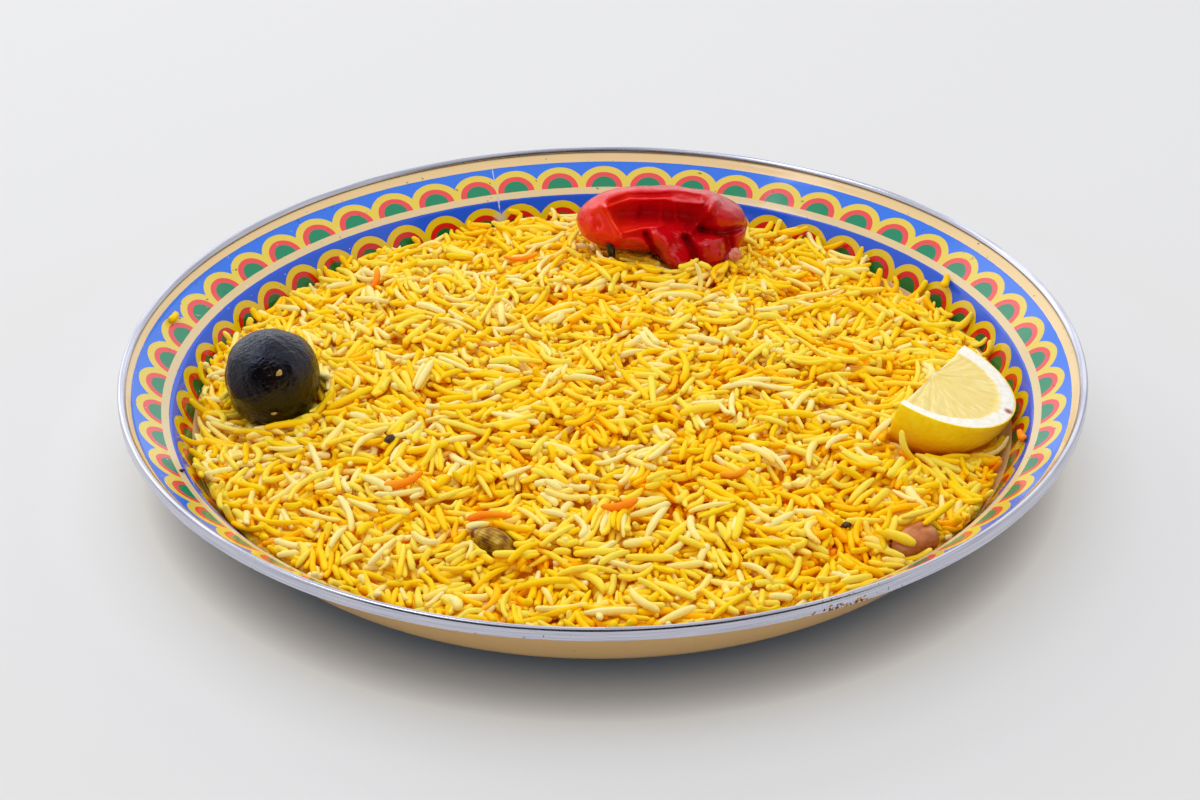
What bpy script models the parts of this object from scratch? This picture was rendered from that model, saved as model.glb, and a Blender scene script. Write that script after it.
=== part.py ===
"""A plate of mandi rice: a round enamelled steel plate with a rolled metal rim, filled with a
low heap of spiced long-grain rice, and on it a collapsed red pepper with its stem, a black
dried lime, a lemon wedge, a cardamom pod and a raisin.

Frame: metres, +Z up, origin on the table under the plate's middle. The diner sits at -Y, so
the pepper lies at the far side, the dried lime on the left and the lemon on the right.
Everything rests where it lies; nothing moves.
"""

import math

import bmesh
import bpy
from mathutils import Euler, Vector

# ---------------------------------------------------------------- driving dimensions, metres
GAP = 0.0003                # room left between the rice and the plate
BED_ROOM = 0.0012           # room left between the rice and a topping pressed into it
TURN_STEPS = 60             # facets round the plate, its rim and the heap
BEND_STEP = 10.0            # degrees of bend for each facet of the plate's outline

PLATE_RADIUS = 0.149        # to the outside of the metal rim
SHEET = 0.0013              # enamelled sheet, enamel included
PLATE_CORNERS = (           # underside of the sheet: radius, height, bend radius
    (0.11286, 0.0, 0.044),          # end of the flat foot
    (0.12448, 0.00567, 0.010),      # heel, where the wall starts
    (0.13425, 0.02078, 0.003),      # fold from the steep wall to the flange
    (0.14536, 0.02851, 0.004),      # kick of the lip
)
PLATE_EDGE = (0.1480, 0.0314)       # underside of the cut edge, inside the rolled rim

RIM_TOP = 0.0336            # highest line of the rolled rim
RIM_LOW = 0.0299            # lower edge of its outer leg
RIM_SHEET = 0.0004
RIM_BEND = 0.0010           # outside radius of the roll

HEAP_EDGE = 0.0135          # height at which the rice meets the plate's wall
HEAP_RISE = 0.0120          # how much higher the middle of the heap is
HEAP_DIPS = (               # bearing from the far side, half-width in degrees, depth
    (103.0, 22.0, 0.0050),
    (52.0, 12.0, 0.0022),
)
HEAP_RIPPLES = (            # wavelength, direction in degrees, height of the uneven top
    (0.047, 20.0, 0.0008),
    (0.031, 95.0, 0.0007),
    (0.023, 152.0, 0.0006),
)
HEAP_RINGS = 11

PEPPER_PLACE = (0.0215, 0.0920, 0.0295)
PEPPER_LEAN = -26.3         # degrees; the flat of the fruit leans back
PEPPER_DEPTH = 0.0150       # half of its thickness, front to back
PEPPER_SOLE = -0.0070       # below this height only a thin tongue hangs in front
PEPPER_TONGUE = (0.0090, 0.0060)    # how far forward it hangs, and the height it takes to do so
PEPPER_OUTLINE = (          # across and up, seen from the front, anticlockwise
    (0.0301, 0.0013), (0.0283, 0.0054), (0.0184, 0.0110), (0.0103, 0.0128),
    (0.0009, 0.0138), (-0.0076, 0.0136), (-0.0166, 0.0128), (-0.0229, 0.0103),
    (-0.0303, 0.0022), (-0.0283, -0.0009), (-0.0211, -0.0072), (-0.0094, -0.0085),
    (-0.0027, -0.0090), (0.0031, -0.0157), (0.0085, -0.0168), (0.0180, -0.0150),
    (0.0256, -0.0094), (0.0283, -0.0022),
)
PEPPER_FOLDS = (            # across, up, reach across, reach up, push towards the front
    (-0.003, 0.0035, 0.015, 0.0062, -0.0125),      # caved-in middle
    (0.004, -0.0100, 0.0052, 0.0085, 0.0050),      # tongue that hangs over the front
    (0.0205, 0.0035, 0.0070, 0.0048, 0.0040),      # upper right lobe
    (0.0160, -0.0080, 0.0055, 0.0060, 0.0045),     # lower right lobe
    (0.0150, -0.0022, 0.0060, 0.0016, -0.0035),    # crease between the lobes
    (-0.0240, 0.0012, 0.0040, 0.0040, -0.0020),    # dimple at the blunt end
)

STEM_PLACE = (0.0036, 0.0822, 0.0175)
STEM_RADIUS = 0.0014
STEM_LENGTH = 0.0066

LIME_PLACE = (-0.1025, -0.0060, 0.0280)
LIME_RADIUS = 0.0147
LIME_SQUARENESS = 0.035     # how much the fruit bulges at its four shoulders

LEMON_PLACE = (0.1020, -0.0102, 0.0290)
LEMON_TURN = (-8.0, 18.0, -31.0)
LEMON_RADIUS = 0.0275
LEMON_DEPTH = 0.0240        # from the cut face down to the tip

CARDAMOM_PLACE = (-0.0305, -0.0893, 0.0207)
CARDAMOM_TURN = (0.0, 5.0, -46.0)
CARDAMOM_SIZE = (0.0148, 0.0080, 0.0072)

RAISIN_PLACE = (0.0883, -0.0853, 0.0172)
RAISIN_TURN = (0.0, 0.0, 38.0)
RAISIN_SIZE = (0.0160, 0.0100, 0.0088)


# ---------------------------------------------------------------- helpers
def material(name, rgb, roughness, metallic=0.0):
    """One plain Principled material."""
    made = bpy.data.materials.new(name)
    made.use_nodes = True
    shader = made.node_tree.nodes["Principled BSDF"]
    shader.inputs["Base Color"].default_value = (*rgb, 1.0)
    shader.inputs["Roughness"].default_value = roughness
    shader.inputs["Metallic"].default_value = metallic
    return made


def add_object(name, mesh_data, finish, place=(0.0, 0.0, 0.0), turn=(0.0, 0.0, 0.0)):
    """Put a mesh in the scene at a place and a turn in degrees, under the plate's empty."""
    mesh_data.materials.append(finish)
    thing = bpy.data.objects.new(name, mesh_data)
    bpy.context.scene.collection.objects.link(thing)
    thing.parent = bpy.data.objects["table_spot"]
    thing.location = place
    thing.rotation_euler = Euler([math.radians(a) for a in turn], "XYZ")
    return thing


def finished_mesh(name, shape):
    """Turn a bmesh into a smooth-shaded mesh whose faces point out."""
    bmesh.ops.recalc_face_normals(shape, faces=shape.faces)
    if shape.calc_volume(signed=True) < 0:
        bmesh.ops.reverse_faces(shape, faces=shape.faces)
    made = bpy.data.meshes.new(name)
    shape.to_mesh(made)
    shape.free()
    made.shade_smooth()
    made.set_sharp_from_angle(angle=math.radians(45))
    return made


def arc(centre, radius, start, turn, steps):
    """Points on an arc in the (radius, height) plane; angles in degrees, turn with its sign."""
    angles = [math.radians(start + turn * k / steps) for k in range(steps + 1)]
    return [(centre[0] + radius * math.cos(a), centre[1] + radius * math.sin(a)) for a in angles]


def bent_line(start, corners, end, degrees_per_step):
    """Straight runs joined by round bends: a list of (point, heading in radians)."""
    stops = [Vector(start)] + [Vector(c[:2]) for c in corners] + [Vector(end)]
    headings = [math.atan2(b.y - a.y, b.x - a.x) for a, b in zip(stops, stops[1:])]
    line = [(stops[0], headings[0])]
    for corner, before, after, (_, _, bend) in zip(stops[1:-1], headings, headings[1:], corners):
        turn = after - before
        side = math.copysign(1.0, turn)
        run_in = bend * math.tan(abs(turn) / 2)
        entry = corner - run_in * Vector((math.cos(before), math.sin(before)))
        centre = entry + side * bend * Vector((-math.sin(before), math.cos(before)))
        steps = max(1, round(math.degrees(abs(turn)) / degrees_per_step))
        for k in range(steps + 1):
            heading = before + turn * k / steps
            outward = Vector((math.sin(heading), -math.cos(heading)))
            line.append((centre + side * bend * outward, heading))
    line.append((stops[-1], headings[-1]))
    return line


def raised(line, rise):
    """Shift a bent line square to itself, towards the plate's upper side."""
    return [p + rise * Vector((-math.sin(a), math.cos(a))) for p, a in line]


def turned(name, outline, closed, finish):
    """Revolve an outline of (radius, height) points about the plate's axis.

    The outline runs over the top, down the outer side and back underneath.
    """
    count = len(outline)
    edges = [(k, k + 1) for k in range(count - 1)] + ([(count - 1, 0)] if closed else [])
    made = bpy.data.meshes.new(name)
    made.from_pydata([(r, 0.0, z) for r, z in outline], edges, [])
    thing = add_object(name, made, finish)
    screw = thing.modifiers.new("turn", "SCREW")
    screw.axis = "Z"
    screw.steps = TURN_STEPS
    screw.render_steps = TURN_STEPS
    screw.use_merge_vertices = True
    screw.merge_threshold = 0.00001
    screw.use_smooth_shade = True
    return thing


def ball(across, up):
    """A unit sphere of quads and two fans, as a bmesh."""
    shape = bmesh.new()
    bmesh.ops.create_uvsphere(shape, u_segments=across, v_segments=up, radius=1.0)
    return shape


def smooth_step(share):
    """Ease from 0 to 1 while the share goes from 0 to 1."""
    share = min(max(share, 0.0), 1.0)
    return share * share * (3.0 - 2.0 * share)


def hump(distance, reach):
    """A smooth bump: 1 at its middle, fading like a bell over its reach."""
    return math.exp(-((distance / reach) ** 2))


# ---------------------------------------------------------------- plate and rim
def plate_line():
    """The underside of the enamelled sheet, from the middle out to its edge."""
    return bent_line((0.0, 0.0), PLATE_CORNERS, PLATE_EDGE, BEND_STEP)


def make_plate():
    """Pressed sheet: flat foot, heel, steep wall, flange and lip."""
    line = plate_line()
    upper = raised(line, SHEET)
    lower = [point for point, _ in line]
    enamel = material("enamel", (0.11, 0.22, 0.71), 0.15)
    return turned("plate", [tuple(p) for p in upper + lower[::-1]], False, enamel)


def make_rim_band():
    """Rolled strip of stainless steel that hooks over the plate's cut edge."""
    centre = (PLATE_RADIUS - RIM_BEND, RIM_TOP - RIM_BEND)
    over = arc(centre, RIM_BEND, 180.0, -180.0, 4)
    leg = [(PLATE_RADIUS, RIM_LOW), (PLATE_RADIUS - RIM_SHEET, RIM_LOW)]
    under = arc(centre, RIM_BEND - RIM_SHEET, 0.0, 180.0, 3)
    steel = material("rim_steel", (0.62, 0.63, 0.65), 0.25, 1.0)
    return turned("rim_band", over + leg + under, True, steel)


# ---------------------------------------------------------------- rice
def heap_edge(bearing):
    """Height of the heap's edge on the wall, for a bearing in degrees from the far side."""
    drop = 0.0
    for middle, width, depth in HEAP_DIPS:
        away = (bearing - middle + 180.0) % 360.0 - 180.0
        drop += depth * hump(away, width)
    return HEAP_EDGE - drop


def heap_top(x, y, edge_height, outwards):
    """Height of the rice at x, y: a low dome on its edge height, with ripples.

    outwards is 0 in the middle and 1 at the wall, where the ripples die out.
    """
    dome = HEAP_RISE * (1.0 - outwards ** 2)
    ripples = 0.0
    for wavelength, direction, height in HEAP_RIPPLES:
        along = x * math.cos(math.radians(direction)) + y * math.sin(math.radians(direction))
        ripples += height * math.sin(2 * math.pi * along / wavelength)
    middle_height = HEAP_EDGE + (edge_height - HEAP_EDGE) * outwards ** 4
    return middle_height + dome + ripples * (1.0 - outwards ** 8)


def make_rice_heap(finish):
    """A turned blank whose lower side lies on the plate, with its top pushed into the heap."""
    line = plate_line()
    bed = raised(line, SHEET + GAP)
    steepest = max(heading for _, heading in line)
    wall_low = next(k for k, (_, heading) in enumerate(line) if heading == steepest)
    wall = bed[wall_low + 1] - bed[wall_low]
    below = [bed[0].lerp(bed[1], 0.5)] + list(bed[1:wall_low + 1])
    shape = bmesh.new()
    rows = [[shape.verts.new((0.0, 0.0, bed[0].y))]]
    bearings = [360.0 * k / TURN_STEPS for k in range(TURN_STEPS)]

    def add_row(profile):
        """One ring: profile(bearing) gives its radius and height."""
        row = []
        for bearing in bearings:
            radius, height = profile(bearing)
            angle = math.radians(90.0 - bearing)
            row.append(shape.verts.new((radius * math.cos(angle), radius * math.sin(angle), height)))
        rows.append(row)

    def edge_point(bearing):
        """Where the heap's edge meets the wall."""
        return bed[wall_low] + wall * ((heap_edge(bearing) - bed[wall_low].y) / wall.y)

    def top_point(bearing, outwards):
        """A point of the heap's top between the middle and the wall."""
        angle = math.radians(90.0 - bearing)
        radius = edge_point(bearing).x * outwards
        x, y = radius * math.cos(angle), radius * math.sin(angle)
        return radius, heap_top(x, y, heap_edge(bearing), outwards)

    for point in below:
        add_row(lambda bearing, point=point: point)
    add_row(edge_point)
    for k in range(1, HEAP_RINGS):
        outwards = 1.0 - (k / HEAP_RINGS) ** 1.15
        add_row(lambda bearing, outwards=outwards: top_point(bearing, outwards))
    rows.append([shape.verts.new((0.0, 0.0, top_point(0.0, 0.0)[1]))])

    for inner, outer in zip(rows, rows[1:]):
        for k in range(TURN_STEPS):
            after = (k + 1) % TURN_STEPS
            corners = [inner[k % len(inner)], inner[after % len(inner)],
                       outer[after % len(outer)], outer[k % len(outer)]]
            shape.faces.new(list(dict.fromkeys(corners)))
    heap = add_object("rice_heap", finished_mesh("rice_heap", shape), finish)
    return heap


def press_into_rice(heap, maker):
    """Cut a topping's bed out of the heap: its own shape, made larger all round."""
    cutter = maker(BED_ROOM)
    cutter.name = "bed_" + cutter.name.split(".")[0]
    cutter.hide_render = True
    cutter.display_type = "WIRE"
    cut = heap.modifiers.new(cutter.name, "BOOLEAN")
    cut.operation = "DIFFERENCE"
    cut.solver = "EXACT"
    cut.object = cutter


# ---------------------------------------------------------------- toppings
def outline_reach(angle):
    """Distance from the pepper's middle to its outline at an angle, straight between points."""
    ray = Vector((math.cos(angle), math.sin(angle)))
    for start, end in zip(PEPPER_OUTLINE, PEPPER_OUTLINE[1:] + PEPPER_OUTLINE[:1]):
        start, side = Vector(start), Vector(end) - Vector(start)
        along_ray = start.cross(side) / ray.cross(side)
        along_side = start.cross(ray) / ray.cross(side)
        if along_ray > 0 and -1e-6 <= along_side <= 1 + 1e-6:
            return along_ray
    raise ValueError("the outline must run once round the middle")


def make_red_pepper(grow=0.0):
    """Collapsed fruit: a cushion inside its outline, with folds pushed in or out in front."""
    shape = ball(30, 16)
    for vert in shape.verts:
        across, front, up = vert.co.x, -vert.co.y, vert.co.z
        flat = math.hypot(across, up)
        reach = outline_reach(math.atan2(up, across)) if flat > 0 else 0.0
        across, up = [reach * c / max(flat, 1e-9) * flat ** 0.8 for c in (across, up)]
        hang = smooth_step((PEPPER_SOLE - up) / PEPPER_TONGUE[1])
        depth = PEPPER_DEPTH * front * (1.0 - 0.6 * hang) + PEPPER_TONGUE[0] * hang
        for middle, height, wide, tall, push in PEPPER_FOLDS:
            fold = hump(across - middle, wide) * hump(up - height, tall)
            depth += push * fold * max(front, 0.0) ** 0.7
        vert.co = (across, -depth, up)
    shape.normal_update()
    swollen = [(vert, vert.co + vert.normal * grow) for vert in shape.verts]
    for vert, place in swollen:
        vert.co = place
    skin = material("pepper_skin", (0.62, 0.01, 0.012), 0.18)
    mesh_data = finished_mesh("red_pepper", shape)
    return add_object("red_pepper", mesh_data, skin, PEPPER_PLACE, (PEPPER_LEAN, 0.0, 0.0))


def make_pepper_stem(grow=0.0):
    """Short dry stalk that props the pepper up out of the rice."""
    shape = bmesh.new()
    bmesh.ops.create_cone(shape, cap_ends=True, segments=10, radius1=STEM_RADIUS * 0.75 + grow,
                          radius2=STEM_RADIUS + grow, depth=STEM_LENGTH + 2 * grow)
    bmesh.ops.translate(shape, verts=shape.verts, vec=(0.0, 0.0, STEM_LENGTH / 2))
    stalk = material("dry_stalk", (0.02, 0.025, 0.01), 0.6)
    return add_object("pepper_stem", finished_mesh("pepper_stem", shape), stalk, STEM_PLACE)


def make_black_lime(grow=0.0):
    """Dried lime: nearly round, with slightly squared shoulders."""
    shape = ball(24, 14)
    for vert in shape.verts:
        across, up = vert.co.x, vert.co.z
        shoulder = 1.0 + LIME_SQUARENESS * 4.0 * (across * up) ** 2
        vert.co *= LIME_RADIUS * shoulder + grow
    rind = material("dried_lime", (0.008, 0.009, 0.012), 0.25)
    return add_object("black_lime", finished_mesh("black_lime", shape), rind, LIME_PLACE)


def make_lemon_wedge(grow=0.0):
    """Quarter of a lemon: half of the fruit across, cut again through its core."""
    shape = ball(32, 20)
    for vert in shape.verts:
        side = LEMON_RADIUS + grow
        vert.co = (vert.co.x * side, vert.co.y * side, vert.co.z * (LEMON_DEPTH + grow))
    for cut_through, cut_side in (((0.0, 0.0, grow), (0, 0, 1)), ((-grow, 0.0, 0.0), (-1, 0, 0))):
        everything = list(shape.verts) + list(shape.edges) + list(shape.faces)
        bmesh.ops.bisect_plane(shape, geom=everything, plane_co=cut_through,
                               plane_no=cut_side, clear_outer=True)
        bmesh.ops.holes_fill(shape, edges=shape.edges)
    zest = material("lemon", (0.80, 0.47, 0.02), 0.35)
    return add_object("lemon_wedge", finished_mesh("lemon_wedge", shape), zest,
                      LEMON_PLACE, LEMON_TURN)


def make_cardamom_pod(grow=0.0):
    """Three-cornered pod, pointed at both ends."""
    shape = ball(18, 12)
    for vert in shape.verts:
        along, side, up = vert.co.z, vert.co.x, vert.co.y
        corner = 1.0 + 0.08 * math.cos(3 * math.atan2(up, side))
        taper = (1.0 - 0.25 * along ** 2) * corner
        long, wide, tall = [size / 2 + grow for size in CARDAMOM_SIZE]
        vert.co = (along * long, side * wide * taper, up * tall * taper)
    husk = material("cardamom_husk", (0.14, 0.10, 0.02), 0.6)
    return add_object("cardamom_pod", finished_mesh("cardamom_pod", shape), husk,
                      CARDAMOM_PLACE, CARDAMOM_TURN)


def make_raisin(grow=0.0):
    """Plump raisin: an egg with a few soft lengthwise wrinkles."""
    shape = ball(20, 12)
    for vert in shape.verts:
        along, side, up = vert.co.z, vert.co.x, vert.co.y
        wrinkle = 1.0 + 0.05 * math.cos(5 * math.atan2(up, side) + 2.0 * along)
        egg = (1.0 + 0.12 * along) * wrinkle
        long, wide, tall = [size / 2 + grow for size in RAISIN_SIZE]
        vert.co = (along * long, side * wide * egg, up * tall * egg)
    skin = material("raisin_skin", (0.30, 0.11, 0.03), 0.45)
    return add_object("raisin", finished_mesh("raisin", shape), skin, RAISIN_PLACE, RAISIN_TURN)


# ---------------------------------------------------------------- the plate of rice
def main():
    for old in list(bpy.data.objects):
        bpy.data.objects.remove(old, do_unlink=True)
    table_spot = bpy.data.objects.new("table_spot", None)
    bpy.context.scene.collection.objects.link(table_spot)

    make_plate()
    make_rim_band()
    heap = make_rice_heap(material("rice", (0.80, 0.50, 0.04), 0.5))
    toppings = (make_red_pepper, make_pepper_stem, make_black_lime, make_lemon_wedge,
                make_cardamom_pod, make_raisin)
    for maker in toppings:
        maker()
    for maker in toppings:
        press_into_rice(heap, maker)


main()
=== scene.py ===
# %% [markdown]
# # A plate of mandi rice
# The dish is a wide enamelled plate with a steel band round its rim, a low heap of long-grain
# rice, and a few whole spices and fruits lying on it. The frame gives each piece's true place
# and size; this script gives each of them its surface. Lengths here are in millimetres, and
# they become metres only where a mesh is made.

# %% Load the frame
import math

import bmesh
import bpy
import numpy as np
from mathutils import Euler, Matrix, Vector


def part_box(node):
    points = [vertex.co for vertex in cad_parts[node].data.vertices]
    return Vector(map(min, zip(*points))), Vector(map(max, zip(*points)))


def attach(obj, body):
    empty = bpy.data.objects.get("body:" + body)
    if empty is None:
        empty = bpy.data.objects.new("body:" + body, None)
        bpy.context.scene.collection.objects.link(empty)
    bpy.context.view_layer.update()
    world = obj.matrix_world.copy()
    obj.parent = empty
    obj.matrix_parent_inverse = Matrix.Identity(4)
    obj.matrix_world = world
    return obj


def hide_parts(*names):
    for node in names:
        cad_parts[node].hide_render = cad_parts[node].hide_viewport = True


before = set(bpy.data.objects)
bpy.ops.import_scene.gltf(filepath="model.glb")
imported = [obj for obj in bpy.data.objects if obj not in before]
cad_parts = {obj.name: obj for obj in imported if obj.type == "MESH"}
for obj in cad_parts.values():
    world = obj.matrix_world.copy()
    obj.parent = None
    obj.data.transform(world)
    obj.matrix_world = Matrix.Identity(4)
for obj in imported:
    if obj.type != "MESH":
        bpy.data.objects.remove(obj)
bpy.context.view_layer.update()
MM = 0.001
BODY = "root"
print("nodes:", sorted(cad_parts))


def box_mm(node):
    """A node's lowest and highest corners in millimetres, as two arrays."""
    low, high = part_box(node)
    return np.array(low) / MM, np.array(high) / MM

# %% [markdown]
# ## Camera
# A plate of food is mostly looked at from a seat at the table: a long lens, well above the
# rim, so that the far border opens up and the near wall just shows. The camera is aimed at a
# point near the middle of the rice, and then rolled a little, as a hand-held one is.

# %% Camera
LENS = 74.69
CAMERA_PLACE = (0.0, -674.3, 414.0)
CAMERA_AIM = (-0.8, -30.9, 33.0)
CAMERA_ROLL = -0.66

camera_data = bpy.data.cameras.new("seat_view")
camera_data.lens = LENS
camera_data.sensor_width = 36.0
camera = bpy.data.objects.new("seat_view", camera_data)
bpy.context.scene.collection.objects.link(camera)
bpy.context.scene.camera = camera


def aim(thing, place, target, roll=0.0):
    """Stand a camera or lamp at a place, its -Z towards the target, then roll it about its own Z."""
    look = (Vector(target) - Vector(place)).to_track_quat("-Z", "Y").to_matrix().to_4x4()
    move = Matrix.Translation(Vector(place) * MM)
    thing.matrix_world = move @ look @ Matrix.Rotation(math.radians(roll), 4, "Z")


aim(camera, CAMERA_PLACE, CAMERA_AIM, CAMERA_ROLL)
away, height = CAMERA_AIM[1] - CAMERA_PLACE[1], CAMERA_PLACE[2] - CAMERA_AIM[2]
print("camera", round(math.hypot(away, height)), "mm away,",
      round(math.degrees(math.atan2(height, away)), 1), "degrees up")

# %% [markdown]
# ## Colours and nodes
# Colours are written as sRGB hex values, as a paint program shows them, and turned linear
# once. One helper adds a node, sets its properties and joins or fills its inputs, so that a
# material reads as a list of steps.

# %% Colour and node helpers
# A Mix node keeps its colour inputs and its mixed colour at these places.
MIX_A, MIX_B, MIXED_COLOUR = 6, 7, 2
COLOURS = {"data_type": "RGBA"}
# What a Math node does.
ADD, SUBTRACT = {"operation": "ADD"}, {"operation": "SUBTRACT"}
MULTIPLY, DIVIDE = {"operation": "MULTIPLY"}, {"operation": "DIVIDE"}
MULTIPLY_ADD, POWER = {"operation": "MULTIPLY_ADD"}, {"operation": "POWER"}
LESS_THAN, GREATER_THAN = {"operation": "LESS_THAN"}, {"operation": "GREATER_THAN"}
MAXIMUM, PINGPONG = {"operation": "MAXIMUM"}, {"operation": "PINGPONG"}


def linear(code):
    """Linear colour of an sRGB hex: c / 12.92 for dark parts, ((c + 0.055) / 1.055) ^ 2.4 above."""
    parts = np.array([int(code[k:k + 2], 16) for k in (0, 2, 4)]) / 255.0
    bright = ((parts + 0.055) / 1.055) ** 2.4
    return (*np.where(parts <= 0.04045, parts / 12.92, bright).tolist(), 1.0)


def fill_inputs(tree, node, inputs):
    """Link or fill a node's inputs; a node given as a value stands for its result."""
    for name, value in inputs.items():
        if isinstance(value, bpy.types.Node):
            mixes_colours = getattr(value, "data_type", None) == "RGBA"
            value = value.outputs[MIXED_COLOUR if mixes_colours else 0]
        if isinstance(value, bpy.types.NodeSocket):
            tree.links.new(value, node.inputs[name])
        else:
            node.inputs[name].default_value = value


def add_node(tree, kind, settings=None, inputs=None):
    """Add a node: set its properties (or a ramp's stops), then link or fill its inputs.

    A Map Range node takes 0: the value, 1 and 2: the range it comes from, 3 and 4: the range it
    goes to, which is 0 to 1 where they are left out.
    """
    made = tree.nodes.new("ShaderNode" + kind)
    for name, value in (settings or {}).items():
        if name == "stops":
            while len(made.color_ramp.elements) < len(value):
                made.color_ramp.elements.new(1.0)
            for element, (place, colour) in zip(made.color_ramp.elements, value):
                element.position = place
                element.color = linear(colour)
        else:
            setattr(made, name, value)
    fill_inputs(tree, made, inputs or {})
    return made


def start_material(name, **uniform):
    """A Principled material; uniform values go on the shader's own sockets (Base_Color and so on)."""
    made = bpy.data.materials.new(name)
    made.use_nodes = True
    shader = made.node_tree.nodes["Principled BSDF"]
    for socket, value in uniform.items():
        shader.inputs[socket.replace("_", " ")].default_value = value
    return made, made.node_tree, shader

# %% [markdown]
# ## Surfaces as grids of numbers
# Every new piece is a surface with two parameters: rows and columns of points that numpy works
# out in one go. A skin that must be closed has a pole before its first row and after its last.
# The faces only say which points are neighbours, so one helper serves them all.

# %% Mesh helpers
def quad_grid(rows, columns, around=True):
    """Quads between neighbouring rows and columns; around joins the last column to the first."""
    row, column = np.meshgrid(np.arange(rows - 1), np.arange(columns if around else columns - 1),
                              indexing="ij")
    here = row * columns + column
    right = row * columns + (column + 1) % columns
    return np.stack([here, right, right + columns, here + columns], -1).reshape(-1, 4)


def capped_faces(rows, columns):
    """Quads of a ringed skin, and two fans of triangles to the poles stored after its rings."""
    here = np.arange(columns)
    after = (here + 1) % columns
    last_ring = (rows - 1) * columns
    start = np.stack([np.full(columns, rows * columns), after, here], -1)
    end = np.stack([np.full(columns, rows * columns + 1), here + last_ring, after + last_ring], -1)
    return [quad_grid(rows, columns), np.concatenate([start, end])]


def facing_out(points, groups):
    """Reverse all faces if the volume they enclose (a sum of signed corners) is negative."""
    volume = 0.0
    for group in groups:
        a = points[group[:, 0]]
        for k in range(1, group.shape[1] - 1):
            volume += np.einsum("ij,ij->", a, np.cross(points[group[:, k]], points[group[:, k + 1]]))
    return groups if volume > 0 else [group[:, ::-1] for group in groups]

# %% From points and faces to an object
def put_mesh(name, points, groups, attributes=None, closed=True):
    """Make a smooth mesh object from points in millimetres, face groups and point attributes."""
    if closed:
        groups = facing_out(points, groups)
    corners = np.concatenate([group.ravel() for group in groups])
    sizes = np.concatenate([np.full(len(group), group.shape[1]) for group in groups])
    starts = np.cumsum(sizes) - sizes
    data = bpy.data.meshes.new(name)
    data.vertices.add(len(points))
    data.vertices.foreach_set("co", (points * MM).astype(np.float32).ravel())
    data.loops.add(len(corners))
    data.loops.foreach_set("vertex_index", corners.astype(np.int32))
    data.polygons.add(len(sizes))
    data.polygons.foreach_set("loop_start", starts.astype(np.int32))
    data.update(calc_edges=True)
    data.shade_smooth()
    for label, values in (attributes or {}).items():
        layer = data.attributes.new(label, "FLOAT", "POINT")
        layer.data.foreach_set("value", np.asarray(values, np.float32).ravel())
    made = bpy.data.objects.new(name, data)
    bpy.context.scene.collection.objects.link(made)
    return made


def dress(piece, finish, slot, *nodes):
    """Give a piece its material, its body and the nodes it stands for; the slot is not used."""
    piece.data.materials.append(finish)
    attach(piece, BODY)
    if nodes:
        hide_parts(*nodes)
    triangles = sum(len(face.vertices) - 2 for face in piece.data.polygons)
    print(f"{piece.name}: {triangles} triangles")

# %% Noise and turns
def waves(points, wavelength, seed, count=12):
    """Smooth noise about -1 to 1: a sum of sines in random directions, wavelengths near the given."""
    draw = np.random.default_rng(seed)
    directions = draw.normal(size=(count, points.shape[-1]))
    directions /= np.linalg.norm(directions, axis=1, keepdims=True)
    steps = 2 * np.pi / (wavelength * draw.uniform(0.75, 1.5, count))
    phases = draw.uniform(0, 2 * np.pi, count)
    total = np.zeros(points.shape[:-1])
    for direction, step, phase in zip(directions, steps, phases):
        total += np.sin(points @ direction * step + phase)
    return total / math.sqrt(count)


def turn_matrix(x_degrees, y_degrees, z_degrees):
    """Turn about X, then Y, then Z, as a 3 by 3 matrix for rows of points (points @ matrix.T)."""
    angles = [math.radians(a) for a in (x_degrees, y_degrees, z_degrees)]
    return np.array(Euler(angles, "XYZ").to_matrix())

# %% [markdown]
# ## Floor and light
# The dish stands on a pale floor, plain paper away from the plate. The light is a studio's: one
# very large soft box above, a pale wall behind, a weaker window at the left, and a pale surround
# that keeps the shadows open. The room behind the camera is dark, and glossy skins need that
# darkness to mirror, or they turn grey. So a black card stands there, which only mirror-like rays
# can see, and the soft box, which would veil the enamel's colours, is hidden from those rays; a
# small window of their own, high at the left, gives the glints on round, wet things. Under the
# plate the floor's colour is a painted shadow, darker and bluer, and round the rim's edge it is
# painted lighter than the paper, to open the shadow there; the blue also offsets the warm light
# that the plate's underside throws on it.

# %% Floor
FLOOR_SIZE = 6000.0
# Painted shadow and light on the floor: darker and bluer under the plate, lighter round the rim's edge.
FLOOR_PAINTED_SHADOW = (                     # from under the plate outwards, to plain grey paper
    (0.0, "96a6bc"), (0.13, "bccade"), (0.25, "eaf3fc"), (0.42, "e0e4e9"), (0.6, "d9dadd"),
    (0.9, "d7d7d8"))
ONE_FACE = np.array([[0, 1, 2, 3]])
FLOOR_CORNERS = np.array([[-1, -1, 0], [1, -1, 0], [1, 1, 0], [-1, 1, 0]]) * FLOOR_SIZE / 2
floor = put_mesh("floor", FLOOR_CORNERS, [ONE_FACE], closed=False)
floor_paper, tree, shader = start_material("matt_paper_painted_shadow", Roughness=0.9)
place = add_node(tree, "TexCoord").outputs["Object"]
away = add_node(tree, "VectorMath", {"operation": "LENGTH"}, {0: place}).outputs["Value"]
away = add_node(tree, "MapRange", None, {0: away, 1: 0.12, 2: 0.22})
# The floor's colour is painted by distance from the plate: a painted shadow.
floor_shadow_tint = add_node(tree, "ValToRGB", {"stops": FLOOR_PAINTED_SHADOW}, {0: away})
fill_inputs(tree, shader, {"Base Color": floor_shadow_tint})
floor.data.materials.append(floor_paper)

# %% Lamps
def window_lamp(name, place, target, size, watts, colour="ffffff"):
    """A soft rectangular lamp, width and height given, that shines from its place at its target."""
    data = bpy.data.lights.new(name, "AREA")
    data.shape = "RECTANGLE"
    data.size = size[0] * MM
    data.size_y = size[1] * MM
    data.energy = watts
    data.color = linear(colour)[:3]
    lamp = bpy.data.objects.new(name, data)
    bpy.context.scene.collection.objects.link(lamp)
    aim(lamp, place, target)
    return lamp


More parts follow.
